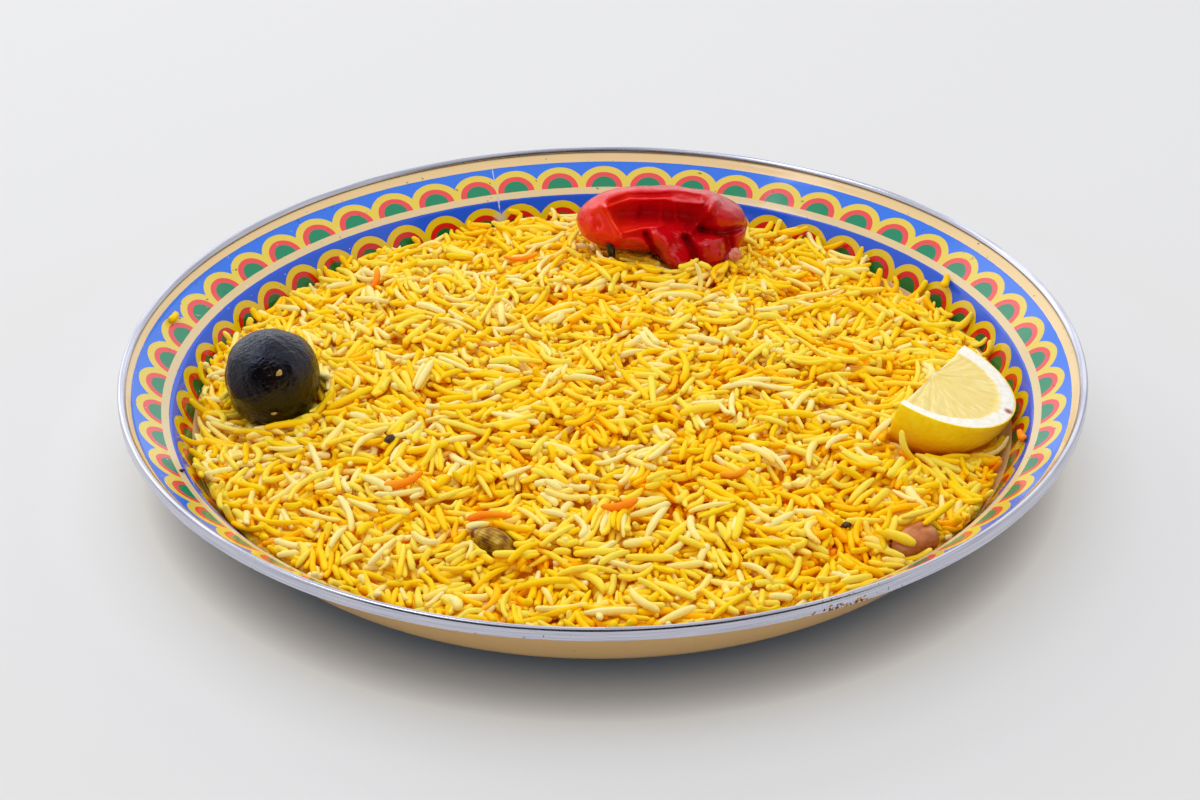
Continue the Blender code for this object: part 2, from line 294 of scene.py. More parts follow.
soft_box = window_lamp("overhead_softbox", (-120, 100, 1500), (0, 0, 0), (2200, 2200), 13.5)
soft_box.visible_glossy = False
sheen_window = window_lamp("sheen_window", (-830, -90, 1620), (0, 0, 0), (600, 600), 4.5, "e6ecff")
sheen_window.visible_diffuse = False
window_lamp("left_window", (-900, 900, 750), (0, 0, 0), (900, 900), 2.0)
window_lamp("back_panel", (-300, 2200, 1150), (0, 0, 300), (4200, 2400), 18.0, "f0f5ff")

# %% Dark card and pale surround
CARD_CORNERS = np.array([[-2600.0, -1700.0, 60.0], [2600.0, -1700.0, 60.0],
                         [2600.0, -1500.0, 2800.0], [-2600.0, -1500.0, 2800.0]])
dark_card = put_mesh("dark_room_card", CARD_CORNERS, [ONE_FACE], closed=False)
card_cloth, _, _ = start_material("black_velvet", Base_Color=linear("1a191c"), Roughness=1.0)
dark_card.data.materials.append(card_cloth)
dark_card.visible_diffuse = False
dark_card.visible_shadow = False
dark_card.visible_transmission = False
world = bpy.data.worlds.new("pale_surround")
world.use_nodes = True
world.node_tree.nodes["Background"].inputs["Color"].default_value = linear("fafafa")
world.node_tree.nodes["Background"].inputs["Strength"].default_value = 0.74
bpy.context.scene.world = world
bpy.context.scene.view_settings.view_transform = "Standard"
# Rice is so pale that light bounces from grain to grain many times before it is lost.
bpy.context.scene.cycles.diffuse_bounces = 16
bpy.context.scene.cycles.max_bounces = 20

# %% [markdown]
# ## The plate's shape
# The plate is one pressed steel sheet: flat foot, round heel, steep wall, sloping flange and a
# lip. Such a thing is turned, so its section is drawn once as straight runs joined by round
# bends, and carried round the axis. The enamel's border is printed on the upper side, so each
# point also keeps its run: the distance along the section, measured from the lip inwards.

# %% Plate section
SHEET = 1.3
PLATE_CORNERS = (           # underside of the sheet: radius, height, bend radius
    (112.86, 0.0, 44.0),
    (124.48, 5.67, 10.0),
    (134.25, 20.78, 3.0),
    (145.36, 28.51, 4.0),
)
PLATE_EDGE = (148.0, 31.4)
AROUND = 360                # columns round the plate
BEND_STEP = 4.0             # degrees of bend for each row
RUN_STEP = 2.0              # a row at least every so many millimetres


def bent_line(start, corners, end):
    """Straight runs joined by arcs that touch both runs; returns points and headings."""
    stops = np.array([start] + [corner[:2] for corner in corners] + [end], float)
    way = np.diff(stops, axis=0)
    headings = np.arctan2(way[:, 1], way[:, 0])
    points, angles = [stops[:1]], [headings[:1]]
    for corner, before, after, bend in zip(stops[1:-1], headings, headings[1:],
                                           [c[2] for c in corners]):
        turn = after - before
        side = math.copysign(1.0, turn)
        run_in = bend * math.tan(abs(turn) / 2)
        entry = corner - run_in * np.array([math.cos(before), math.sin(before)])
        centre = entry + side * bend * np.array([-math.sin(before), math.cos(before)])
        steps = max(2, round(math.degrees(abs(turn)) / BEND_STEP))
        heading = before + turn * np.linspace(0, 1, steps + 1)
        outward = np.stack([np.sin(heading), -np.cos(heading)], -1)
        points.append(centre + side * bend * outward)
        angles.append(heading)
    points.append(stops[-1:])
    angles.append(headings[-1:])
    return np.concatenate(points), np.concatenate(angles)


def filled(points, step):
    """The same line with points added so that none lie further apart than the step."""
    run = np.concatenate([[0], np.cumsum(np.linalg.norm(np.diff(points, axis=0), axis=1))])
    extra = np.arange(0, run[-1], step)
    every = np.union1d(run, extra)
    every = every[np.concatenate([[True], np.diff(every) > 0.05])]
    return np.stack([np.interp(every, run, points[:, 0]), np.interp(every, run, points[:, 1])], -1)


def turned_points(section, columns):
    """Carry a section of (radius, height) round the axis: rings of points, then its two poles."""
    angle = np.linspace(0, 2 * np.pi, columns, endpoint=False)
    radius, height = section[:, :1], section[:, 1:]
    rings = np.stack([radius * np.cos(angle), radius * np.sin(angle),
                      np.broadcast_to(height, (len(section), columns))], -1)
    poles = [[0, 0, section[0, 1]], [0, 0, section[-1, 1]]]
    return np.concatenate([rings.reshape(-1, 3), poles])

# %% Plate's two sides and the run of its border
under_line, under_heading = bent_line((0.0, 0.0), PLATE_CORNERS, PLATE_EDGE)
upper_line = under_line + SHEET * np.stack([-np.sin(under_heading), np.cos(under_heading)], -1)
plate_upper = filled(upper_line, RUN_STEP)
plate_under = filled(under_line, RUN_STEP)

# Where the border print is measured from: this point of the upper side has this run.
PRINT_MARK = (144.5, 29.5)
PRINT_MARK_RUN = 8.6
UNDER_RUN = -20.0           # a run that no print reaches, for the underside
upper_run = np.concatenate([[0], np.cumsum(np.linalg.norm(np.diff(plate_upper, axis=0), axis=1))])
mark_at = np.argmin(np.linalg.norm(plate_upper - np.array(PRINT_MARK), axis=1))
upper_print = PRINT_MARK_RUN + upper_run[mark_at] - upper_run
print("plate section rows:", len(plate_upper), len(plate_under), "run at lip", upper_print[-1])

# %% Plate mesh
EDGE_BULGE = np.array([0.45, 0.1])      # how far the rounded edge stands out past the sheet
rounded_edge = (plate_upper[-1] + plate_under[-1]) / 2 + EDGE_BULGE
section = np.concatenate([plate_upper[1:], rounded_edge[None], plate_under[:0:-1]])
section_print = np.concatenate([upper_print[1:], [0.0], np.full(len(plate_under) - 1, UNDER_RUN)])
plate_points = turned_points(section, AROUND)
plate_runs = np.concatenate([np.repeat(section_print, AROUND), [upper_print[0], UNDER_RUN]])
plate_piece = put_mesh("enamel_plate", plate_points, capped_faces(len(section), AROUND),
                       {"print_run": plate_runs})

# %% [markdown]
# ## Vitreous enamel with its border
# Enamel is glass fused to steel at 800 degrees, so it is smooth, hard and very glossy. The
# border came as one printed transfer, laid round the plate and fired in: two blue bands, each
# with a row of arches in yellow, red and green, and cream ground between them. The arches are
# half ellipses, so the pattern is worked out in the shader from the bearing and the run, which
# keeps its edges crisp at any distance. The two ends of the transfer meet at a pale seam.

# %% Border sizes
PRINT_SEAM = -15.8                  # bearing in degrees, clockwise from the far side
FIRST_ARCH = 3.0                    # degrees from the seam to the first arch's middle
ARCH_STEP = 6.683                   # degrees from arch to arch
# The arch's rings: their ink, half-width in half steps, and height as a share of the whole arch.
ARCH_RINGS = (("yellow", 1.155, 1.0), ("red", 0.83, 0.72), ("green", 0.56, 0.505))
PRINT_SHIFT = 1.1                   # the transfer sits this much nearer the lip at the left
# Each band: the run at the blue's edge, at the arches' tips and at their base, and its inks. The
# outer band's inks are painted paler, a painted reflection of the bright sky that the flange mirrors.
BORDER_BANDS = (
    ((8.8, 10.7, 19.3), {"blue": "2f74ea", "yellow": "e2ca4e", "red": "e64a50", "green": "128660"}),
    ((22.0, 24.0, 32.8), {"blue": "2156da", "yellow": "dabb05", "red": "cc1a10", "green": "0f6628"}),
)
PRINT_START = BORDER_BANDS[0][0][0]
LIP_END = 12.0                      # the lip's cream reaches to this run, under the outer band
BAND_EDGE = 5.2                     # the steel band covers the lip to this run
LIP_CREAM, GROUND_CREAM, UNDERSIDE_CREAM = "ecd09c", "dcc698", "e7ba78"


def bearing_degrees(tree, place):
    """Node steps for the bearing: the arctangent of x over y, in degrees, clockwise from +Y."""
    parts = add_node(tree, "SeparateXYZ", None, {0: place})
    angle = add_node(tree, "Math", {"operation": "ARCTAN2"}, {0: parts.outputs[0], 1: parts.outputs[1]})
    return add_node(tree, "Math", {"operation": "DEGREES"}, {0: angle})

# %% Enamel: where each point lies in the border
enamel, tree, shader = start_material("vitreous_enamel", Roughness=0.12, IOR=1.52)
place = add_node(tree, "TexCoord").outputs["Object"]
leftward = add_node(tree, "SeparateXYZ", None, {0: place}).outputs[0]
bearing = bearing_degrees(tree, place)
from_seam = add_node(tree, "Math", ADD, {0: bearing, 1: -PRINT_SEAM})
from_seam = add_node(tree, "Math", {"operation": "FLOORED_MODULO"}, {0: from_seam, 1: 360.0})
steps = add_node(tree, "Math", SUBTRACT, {0: from_seam, 1: FIRST_ARCH})
steps = add_node(tree, "Math", DIVIDE, {0: steps, 1: ARCH_STEP})
aside = add_node(tree, "Math", PINGPONG, {0: steps, 1: 0.5})
aside = add_node(tree, "Math", MULTIPLY, {0: aside, 1: 2.0})
section_run = add_node(tree, "Attribute", {"attribute_name": "print_run"}).outputs["Fac"]
shift = add_node(tree, "MapRange", None, {0: leftward, 1: -0.06, 2: -0.142, 3: 0.0, 4: PRINT_SHIFT})
run = add_node(tree, "Math", ADD, {0: section_run, 1: shift})
# The screen print wavers by a tenth of a millimetre.
waver = add_node(tree, "TexNoise", None, {"Vector": place, "Scale": 260.0, "Detail": 2.0})
waver = add_node(tree, "Math", MULTIPLY_ADD, {0: waver, 1: 0.24, 2: -0.12})
run = add_node(tree, "Math", ADD, {0: run, 1: waver})

# %% Enamel: bare ground, blue bands and arches
# Bare enamel: darker and thinner below, pale at the lip, and a touch greyer between the bands.
# The underside's run lies far below zero, so a test for -2 tells the two sides apart.
is_lip = add_node(tree, "Math", LESS_THAN, {0: section_run, 1: LIP_END})
bare_upper = add_node(tree, "Mix", COLOURS,
                      {0: is_lip, MIX_A: linear(GROUND_CREAM), MIX_B: linear(LIP_CREAM)})
is_upper = add_node(tree, "Math", GREATER_THAN, {0: section_run, 1: -2.0})
paint = add_node(tree, "Mix", COLOURS, {0: is_upper, MIX_A: linear(UNDERSIDE_CREAM), MIX_B: bare_upper})
for (start, tip, base), inks in BORDER_BANDS:
    below = add_node(tree, "Math", GREATER_THAN, {0: run, 1: start})
    above = add_node(tree, "Math", LESS_THAN, {0: run, 1: base})
    inside = add_node(tree, "Math", MULTIPLY, {0: below, 1: above})
    height = add_node(tree, "Math", SUBTRACT, {0: base, 1: run})
    height = add_node(tree, "Math", DIVIDE, {0: height, 1: base - tip})
    paint = add_node(tree, "Mix", COLOURS, {0: inside, MIX_A: paint, MIX_B: linear(inks["blue"])})
    for colour, half_width, tall in ARCH_RINGS:
        across = add_node(tree, "Math", DIVIDE, {0: aside, 1: half_width})
        across = add_node(tree, "Math", POWER, {0: across, 1: 2.0})
        up = add_node(tree, "Math", DIVIDE, {0: height, 1: tall})
        up = add_node(tree, "Math", POWER, {0: up, 1: 2.0})
        reach = add_node(tree, "Math", ADD, {0: across, 1: up})
        arch = add_node(tree, "Math", LESS_THAN, {0: reach, 1: 1.0})
        arch = add_node(tree, "Math", MULTIPLY, {0: arch, 1: inside})
        paint = add_node(tree, "Mix", COLOURS, {0: arch, MIX_A: paint, MIX_B: linear(inks[colour])})

# %% Enamel wear: the transfer's seam
# The seam is a thin scratch that slants and breaks off, with a smear beside it on the inner band.
slant = add_node(tree, "Math", MULTIPLY_ADD, {0: section_run, 1: 0.018, 2: -0.35})
beside = add_node(tree, "Math", ADD, {0: from_seam, 1: slant})
seam_gap = add_node(tree, "Math", PINGPONG, {0: beside, 1: 180.0})
scratch = add_node(tree, "TexNoise", None, {"Vector": place, "Scale": 300.0, "Detail": 2.0})
seam_wide = add_node(tree, "MapRange", None, {0: scratch, 1: 0.40, 2: 0.62, 3: 0.0, 4: 0.15})
seam = add_node(tree, "Math", LESS_THAN, {0: seam_gap, 1: seam_wide})
smear_edge = add_node(tree, "MapRange", None, {0: seam_gap, 1: 1.3, 2: 0.3, 3: 0.0, 4: 1.0})
on_inner = add_node(tree, "MapRange", None, {0: run, 1: 25.0, 2: 28.0, 3: 0.0, 4: 0.45})
smear = add_node(tree, "Math", MULTIPLY, {0: smear_edge, 1: on_inner})
printed = add_node(tree, "Math", GREATER_THAN, {0: run, 1: PRINT_START})
seam = add_node(tree, "Math", MULTIPLY, {0: seam, 1: printed})
seam = add_node(tree, "Math", MAXIMUM, {0: seam, 1: smear})
paint = add_node(tree, "Mix", COLOURS, {0: seam, MIX_A: paint, MIX_B: linear("b4bfdc")})

# %% Enamel wear: flecks, grime, a water line and the slight waves of fired glass
# White flecks where the ink missed, mostly at the left, and dark pits and grime all round.
missed = add_node(tree, "TexNoise", None, {"Vector": place, "Scale": 620.0, "Detail": 2.0})
at_left = add_node(tree, "MapRange", None, {0: leftward, 1: 0.0, 2: -0.12, 3: -0.06, 4: 0.02})
missed = add_node(tree, "Math", ADD, {0: missed, 1: at_left})
missed = add_node(tree, "MapRange", None, {0: missed, 1: 0.74, 2: 0.77, 3: 0.0, 4: 0.7})
missed = add_node(tree, "Math", MULTIPLY, {0: missed, 1: printed})
paint = add_node(tree, "Mix", COLOURS, {0: missed, MIX_A: paint, MIX_B: linear("dfe6f4")})
grime = add_node(tree, "TexNoise", None, {"Vector": place, "Scale": 420.0, "Detail": 4.0})
grime = add_node(tree, "MapRange", None, {0: grime, 1: 0.69, 2: 0.75, 3: 0.0, 4: 0.7})
paint = add_node(tree, "Mix", COLOURS, {0: grime, MIX_A: paint, MIX_B: linear("2e2218")})
# A brown line runs along the enamel where the steel band ends.
band_edge_line = add_node(tree, "MapRange", None,
                 {0: section_run, 1: BAND_EDGE, 2: BAND_EDGE + 0.6, 3: 0.75, 4: 0.0})
band_edge_line = add_node(tree, "Math", MULTIPLY, {0: band_edge_line, 1: is_upper})
paint = add_node(tree, "Mix", COLOURS, {0: band_edge_line, MIX_A: paint, MIX_B: linear("5d4630")})
ripple = add_node(tree, "TexNoise", None, {"Vector": place, "Scale": 90.0, "Detail": 1.0})
ripple = add_node(tree, "Bump", None, {"Strength": 0.06, "Distance": 0.002, "Height": ripple})
fill_inputs(tree, shader, {"Base Color": paint, "Normal": ripple})
dress(plate_piece, enamel, "enamel", "plate")

# %% [markdown]
# ## The steel band
# A strip of thin stainless steel is rolled over the plate's cut edge to cover it. It hooks
# over the top with a tight bend, lies on the lip inside and hangs down outside as a short
# straight leg. It is turned like the plate, with a small hem at its lower edge.

# %% Band sizes
band_low, band_high = box_mm("rim_band")
BAND_RADIUS = band_high[0]
BAND_BEND = 1.0
BAND_SHEET = 0.4
HOOK_REACH = 1.0                    # how far the strip lies down the inner side of the lip


def arc_points(centre, radius, start, turn, steps):
    """Points on an arc round a centre in the (radius, height) plane, angles in degrees."""
    angle = np.radians(start + turn * np.linspace(0, 1, steps + 1))
    return np.array(centre) + radius * np.stack([np.cos(angle), np.sin(angle)], -1)

# %% Band section and mesh
bend_middle = (BAND_RADIUS - BAND_BEND, band_high[2] - BAND_BEND)
hem_middle = (BAND_RADIUS - BAND_SHEET / 2, band_low[2] + BAND_SHEET / 2)
lip_slope = math.degrees(under_heading[-1])
lip_normal = arc_points((0, 0), 1.0, 90 + lip_slope, 0.0, 1)[0]
hook_way = arc_points((0, 0), 1.0, 180 + lip_slope, 0.0, 1)[0]
hook_tip = np.array(bend_middle) + (BAND_BEND - BAND_SHEET / 2) * lip_normal + HOOK_REACH * hook_way
band_section = np.concatenate([
    arc_points(hook_tip, BAND_SHEET / 2, 270 + lip_slope, -180.0, 6),
    arc_points(bend_middle, BAND_BEND, 90 + lip_slope, -90 - lip_slope, 14),
    arc_points(hem_middle, BAND_SHEET / 2, 0.0, -180.0, 6),
    arc_points(bend_middle, BAND_BEND - BAND_SHEET, 0.0, 90 + lip_slope, 10),
])
BAND_COLUMNS = 480
angle = np.linspace(0, 2 * np.pi, BAND_COLUMNS, endpoint=False)
# The roller left the leg very slightly uneven, and it has one small knock near the front.
KNOCK_ANGLE, KNOCK_WIDE, KNOCK_DEPTH = 263.4, 0.8, 0.22
knock = np.exp(-((np.degrees(angle) - KNOCK_ANGLE) / KNOCK_WIDE) ** 2)
uneven = 0.05 * np.sin(7 * angle + 1.0) + 0.04 * np.sin(17 * angle) - KNOCK_DEPTH * knock
leg = np.clip((band_high[2] - band_section[:, 1]) / (band_high[2] - band_low[2]), 0, 1)
radius = band_section[:, :1] + (uneven * leg[:, None]).clip(-0.3, 0.0)
height = np.broadcast_to(band_section[:, 1:], radius.shape)
band_points = np.stack([radius * np.cos(angle), radius * np.sin(angle), height], -1).reshape(-1, 3)
rows = len(band_section)
band_faces = quad_grid(rows + 1, BAND_COLUMNS) % (rows * BAND_COLUMNS)
band_piece = put_mesh("rolled_steel_band", band_points, [band_faces])

# %% [markdown]
# ## Stainless steel, a little rusty
# The strip is bright cold-rolled steel: a mirror drawn out slightly along the rim. Years of
# washing left fine scratches that follow the rim, brown spots where rust started under the
# hem, and one longer patch near the front. The spots are noise that is allowed only in chosen
# stretches of the rim.

# %% Steel: rust
# Stretches of the rim with rust: bearings from and to, and how high the noise must be there.
RUST_STRETCHES = ((151.9, 157.5, 0.585), (150.5, 160.5, 0.665), (147.6, 150.0, 0.70),
                  (-176.8, -164.8, 0.72), (-140.0, -132.0, 0.735))
steel, tree, shader = start_material("cold_rolled_stainless_steel", Metallic=1.0)
place = add_node(tree, "TexCoord").outputs["Object"]
bearing = bearing_degrees(tree, place)
spots = add_node(tree, "TexNoise", None, {"Vector": place, "Scale": 900.0, "Detail": 4.0})
height = add_node(tree, "SeparateXYZ", None, {0: place}).outputs[2]
low_leg = add_node(tree, "MapRange", None,
                   {0: height, 1: (band_low[2] + 2.2) * MM, 2: band_low[2] * MM, 3: -0.03, 4: 0.10})
spots = add_node(tree, "Math", ADD, {0: spots, 1: low_leg})
rust = add_node(tree, "Math", GREATER_THAN, {0: spots, 1: 0.80})
for start, end, level in RUST_STRETCHES:
    after = add_node(tree, "Math", GREATER_THAN, {0: bearing, 1: start})
    before = add_node(tree, "Math", LESS_THAN, {0: bearing, 1: end})
    here = add_node(tree, "Math", MULTIPLY, {0: after, 1: before})
    over = add_node(tree, "Math", GREATER_THAN, {0: spots, 1: level})
    here = add_node(tree, "Math", MULTIPLY, {0: here, 1: over})
    rust = add_node(tree, "Math", MAXIMUM, {0: rust, 1: here})
rust_tone = add_node(tree, "TexNoise", None, {"Vector": place, "Scale": 500.0})
rust_tone = add_node(tree, "ValToRGB", {"stops": ((0.4, "6a3614"), (0.6, "c09238"))}, {0: rust_tone})

# %% Steel: bright metal with fine scratches
# They run round the rim: noise stretched along the bearing, tight across it.
along_rim = add_node(tree, "CombineXYZ", None, {0: bearing, 1: height})
along_rim = add_node(tree, "Mapping", None, {"Vector": along_rim, "Scale": (0.10, 2600.0, 1.0)})
lines = add_node(tree, "TexNoise", None, {"Vector": along_rim, "Scale": 1.0, "Detail": 3.0})
lined = add_node(tree, "ValToRGB", {"stops": ((0.32, "b6b6c6"), (0.6, "d4d5e0"))}, {0: lines})
metal_tone = add_node(tree, "Mix", COLOURS, {0: rust, MIX_A: lined, MIX_B: rust_tone})
bare = add_node(tree, "Math", SUBTRACT, {0: 1.0, 1: rust})
smear = add_node(tree, "TexNoise", None, {"Vector": place, "Scale": 60.0, "Detail": 3.0})
smear = add_node(tree, "MapRange", None, {0: smear, 3: 0.14, 4: 0.34})
rough = add_node(tree, "Mix", {"data_type": "FLOAT"}, {0: rust, 2: smear, 3: 0.8})
fill_inputs(tree, shader, {"Base Color": metal_tone, "Metallic": bare, "Roughness": rough})
dress(band_piece, steel, "rim_steel", "rim_band")

# %% [markdown]
# ## The red pepper
# A whole pepper cooked in the pot goes soft, collapses and folds in on itself under its thin,
# tough skin. It could be sculpted by hand; here it starts as a cushion inside its outline, and
# every fold is a line on it with a reach and a push: points near the line move forward or back
# by a bell of their distance to it. That gives ridges, creases, lobes and the hollow.

# %% Pepper outline and folds
PEPPER_OUTLINE = np.array((         # across and up, seen from the front, anticlockwise
    (30.1, 1.3), (28.3, 5.4), (18.4, 11.0), (10.3, 12.8), (0.9, 13.8), (-7.6, 13.6),
    (-16.6, 12.8), (-22.9, 10.3), (-30.3, 2.2), (-28.3, -0.9), (-21.1, -7.2), (-9.4, -8.5),
    (-2.7, -9.0), (3.1, -15.7), (8.5, -16.8), (18.0, -15.0), (25.6, -9.4), (28.3, -2.2)))
PEPPER_LEAN = -26.3                 # degrees that it leans back about X
PEPPER_DEPTH = 15.0
PEPPER_LEFT_STRETCH = 1.06
# Below the sole the skin is thinner and hangs forward as a tongue, by a push that grows downwards.
PEPPER_SOLE, TONGUE_PUSH, TONGUE_GROWS, TONGUE_THINNER = -7.0, 9.0, 6.0, 0.6
PEPPER_FOLDS = (                    # push towards the front, reach, line of points
    (-12.0, 4.3, ((-14.2, 4.2), (-8.0, 4.6), (0.0, 4.0), (8.0, 3.0), (10.8, 0.8))),     # hollow
    (2.2, 1.9, ((-25.0, 0.0), (-24.0, 6.0), (-18.0, 10.8), (-8.0, 12.6), (2.0, 12.6), (12.0, 11.4),
                (19.0, 8.9))),                                                      # top roll
    (-1.6, 0.8, ((-19.5, 7.8), (-12.1, 10.5), (5.8, 10.8), (12.0, 9.8))),               # line under it
    (3.0, 0.9, ((-20.0, 6.4), (-11.2, 9.0), (0.0, 9.1), (5.8, 7.8), (12.5, 7.4))),      # second fold
    (4.6, 1.0, ((-14.4, -2.2), (-7.6, -0.5), (-0.4, 0.4))),                             # ledge
    (1.8, 0.9, ((-1.2, 2.0), (-0.8, 7.0))),                                             # streaks
    (1.4, 0.8, ((4.5, 2.0), (3.4, 7.5))),
    (-1.2, 0.6, ((-9.0, 2.4), (-7.6, 6.6))),
    (-2.6, 1.6, ((-23.8, 3.6), (-22.8, 0.6))),                                          # dimple
    (5.0, 1.1, ((-19.8, 7.0), (-17.0, 1.0), (-14.6, -3.6))),                            # left lip
    (3.6, 1.2, ((-14.4, -4.2), (-9.4, -4.2), (-5.4, -6.4))),
    (8.0, 3.2, ((-3.4, -2.6), (0.6, -7.4), (4.6, -13.0))),                              # tongue
    (-6.2, 0.9, ((-6.2, -2.4), (-4.6, -6.0), (-3.0, -9.8))),                            # its edges
    (-5.6, 1.2, ((7.2, -4.0), (9.8, -8.6), (11.0, -15.0))),
    (-2.0, 1.6, ((1.8, -7.6), (2.4, -8.2))),                                            # dent on it
    (4.4, 1.3, ((18.9, 10.3), (14.8, 4.9), (8.8, -2.4))),                               # diagonal
    (5.6, 5.2, ((19.8, 3.8), (23.5, 3.2))),                                             # upper lobe
    (-7.4, 1.2, ((13.4, -1.6), (19.3, -2.6), (25.6, -1.3), (30.0, 0.4))),               # crease
    (6.6, 4.4, ((15.2, -7.4), (15.8, -9.4))),                                           # lower lobe
    (-6.0, 1.5, ((22.0, -4.4), (23.0, -9.0), (21.0, -13.6))),                           # behind it
)

# %% Distances that the pepper is made from
def outline_reach(angle, outline):
    """Distance from the middle to a closed outline at each angle: where a ray cuts its chord."""
    start, side = outline, np.roll(outline, -1, 0) - outline
    ray = np.stack([np.cos(angle), np.sin(angle)], -1)[:, None]
    cross = ray[..., 0] * side[:, 1] - ray[..., 1] * side[:, 0]
    along_ray = (start[:, 0] * side[:, 1] - start[:, 1] * side[:, 0]) / cross
    along_side = (start[:, 0] * ray[..., 1] - start[:, 1] * ray[..., 0]) / cross
    met = (along_ray > 0) & (along_side >= -1e-9) & (along_side <= 1 + 1e-9)
    return np.where(met, along_ray, 0.0).max(1)


def line_distance(across, up, line):
    """Shortest distance from each point (across, up) to a line of straight stretches."""
    place = np.stack([across, up], -1)
    nearest = np.full(across.shape, np.inf)
    line = np.array(line)
    for start, end in zip(line, line[1:]):
        way = end - start
        share = np.clip((place - start) @ way / (way @ way), 0, 1)
        nearest = np.minimum(nearest, np.linalg.norm(place - start - share[..., None] * way, axis=-1))
    return nearest


def smooth_step(share):
    """Ease from 0 to 1 while the share goes from 0 to 1."""
    share = np.clip(share, 0, 1)
    return share * share * (3 - 2 * share)

# %% Pepper mesh
PEPPER_ROWS, PEPPER_COLUMNS = 210, 420
polar = np.pi * (np.arange(PEPPER_ROWS) + 0.5) / PEPPER_ROWS
spin = np.linspace(0, 2 * np.pi, PEPPER_COLUMNS, endpoint=False)
reach = outline_reach(spin, PEPPER_OUTLINE)
# Round the outline's corners: each reach becomes the mean of its neighbours.
SMOOTHING = 13
reach = sum(np.roll(reach, k) for k in range(-SMOOTHING, SMOOTHING + 1)) / (2 * SMOOTHING + 1)
flat = np.sin(polar)[:, None] ** 0.8 * reach
front = np.cos(polar)[:, None] * np.ones_like(flat)
across = np.concatenate([(flat * np.cos(spin)).ravel(), [0.0, 0.0]])
across = np.where(across < 0, across * PEPPER_LEFT_STRETCH, across)
up = np.concatenate([(flat * np.sin(spin)).ravel(), [0.0, 0.0]])
front = np.concatenate([front.ravel(), [1.0, -1.0]])
hang = smooth_step((PEPPER_SOLE - up) / TONGUE_GROWS)
depth = PEPPER_DEPTH * front * (1 - TONGUE_THINNER * hang) + TONGUE_PUSH * hang
for push, fold_reach, line in PEPPER_FOLDS:
    bell = np.exp(-((line_distance(across, up, line) / fold_reach) ** 2))
    depth += push * bell * front.clip(0) ** 0.7
# Slack skin: shallow wrinkles everywhere, a little stronger on the back.
local = np.stack([across, -depth, up], -1)
slack = waves(local, 9.0, 5) * 0.14 + waves(local, 4.0, 6) * 0.07
local += slack[:, None] * local / np.linalg.norm(local, axis=1, keepdims=True).clip(1)
pepper_low, pepper_high = box_mm("red_pepper")
PEPPER_MIDDLE = (pepper_low + pepper_high) / 2 + np.array([-0.27, 2.48, -0.72])
pepper_points = local @ turn_matrix(PEPPER_LEAN, 0, 0).T + PEPPER_MIDDLE
pepper_piece = put_mesh("collapsed_red_pepper", pepper_points,
                        capped_faces(PEPPER_ROWS, PEPPER_COLUMNS))

# %% [markdown]
# ## Pepper skin
# The skin is a thin waxy film, wet with cooking fat, over soft red flesh. It needs a saturated
# red under a clear gloss: the broad pale patches are the window mirrored in it. The red varies
# in patches and turns towards orange at the left end.

# %% Pepper material
pepper_skin, tree, shader = start_material(
    "cooked_pepper_skin", Roughness=0.2, IOR=1.45, Specular_IOR_Level=0.55,
    Subsurface_Weight=0.2, Subsurface_Radius=(0.004, 0.0005, 0.0004), Subsurface_Scale=1.0)
place = add_node(tree, "TexCoord").outputs["Object"]
patches = add_node(tree, "TexNoise", None, {"Vector": place, "Scale": 55.0, "Detail": 2.0})
side = add_node(tree, "SeparateXYZ", None, {0: place}).outputs[0]
leftness = add_node(tree, "MapRange", None, {0: side, 1: 0.026, 2: -0.004, 3: -0.12, 4: 0.30})
patches = add_node(tree, "Math", ADD, {0: patches, 1: leftness})
reds = add_node(tree, "ValToRGB",
                {"stops": ((0.30, "b8040e"), (0.55, "d80814"), (0.85, "e8280e"))}, {0: patches})
creases = add_node(tree, "TexNoise", None,
                   {"Vector": place, "Scale": 420.0, "Detail": 4.0, "Distortion": 0.6})
creases = add_node(tree, "Bump", None, {"Strength": 0.18, "Distance": 0.0006, "Height": creases})
puckers = add_node(tree, "TexNoise", None,
                   {"Vector": place, "Scale": 130.0, "Detail": 3.0, "Distortion": 1.2})
creases = add_node(tree, "Bump", None,
                   {"Strength": 0.45, "Distance": 0.0015, "Height": puckers, "Normal": creases})
fill_inputs(tree, shader, {"Base Color": reds, "Normal": creases})
dress(pepper_piece, pepper_skin, "pepper_skin", "red_pepper")

# %% [markdown]
# ## The pepper's stalk
# The dried stalk sticks down out of the fruit into the rice. It is a thin rod that swells
# where it meets the fruit, with a few grooves along it.

# %% Stalk shape
stem_low, stem_high = box_mm("pepper_stem")
STEM_ROWS, STEM_COLUMNS = 24, 20
STEM_TOP = stem_high[2] + 4.0       # it runs on up into the fruit
share = np.linspace(0, 1, STEM_ROWS)[:, None]
spin = np.linspace(0, 2 * np.pi, STEM_COLUMNS, endpoint=False)
stem_radius = 0.85 + 0.5 * smooth_step((share - 0.3) / 0.5) + 0.10 * np.cos(5 * spin)
middle = (stem_low + stem_high) / 2
stem_rings = np.stack([middle[0] + stem_radius * np.cos(spin) + 0.8 - 1.4 * share,
                       middle[1] + stem_radius * np.sin(spin),
                       stem_low[2] + (STEM_TOP - stem_low[2]) * share * np.ones_like(spin)], -1)
stem_poles = np.array([[middle[0] + 0.8, middle[1], stem_low[2] - 0.3],
                       [middle[0] - 0.6, middle[1], STEM_TOP]])
stem_piece = put_mesh("pepper_stalk", np.concatenate([stem_rings.reshape(-1, 3), stem_poles]),
                      capped_faces(STEM_ROWS, STEM_COLUMNS))

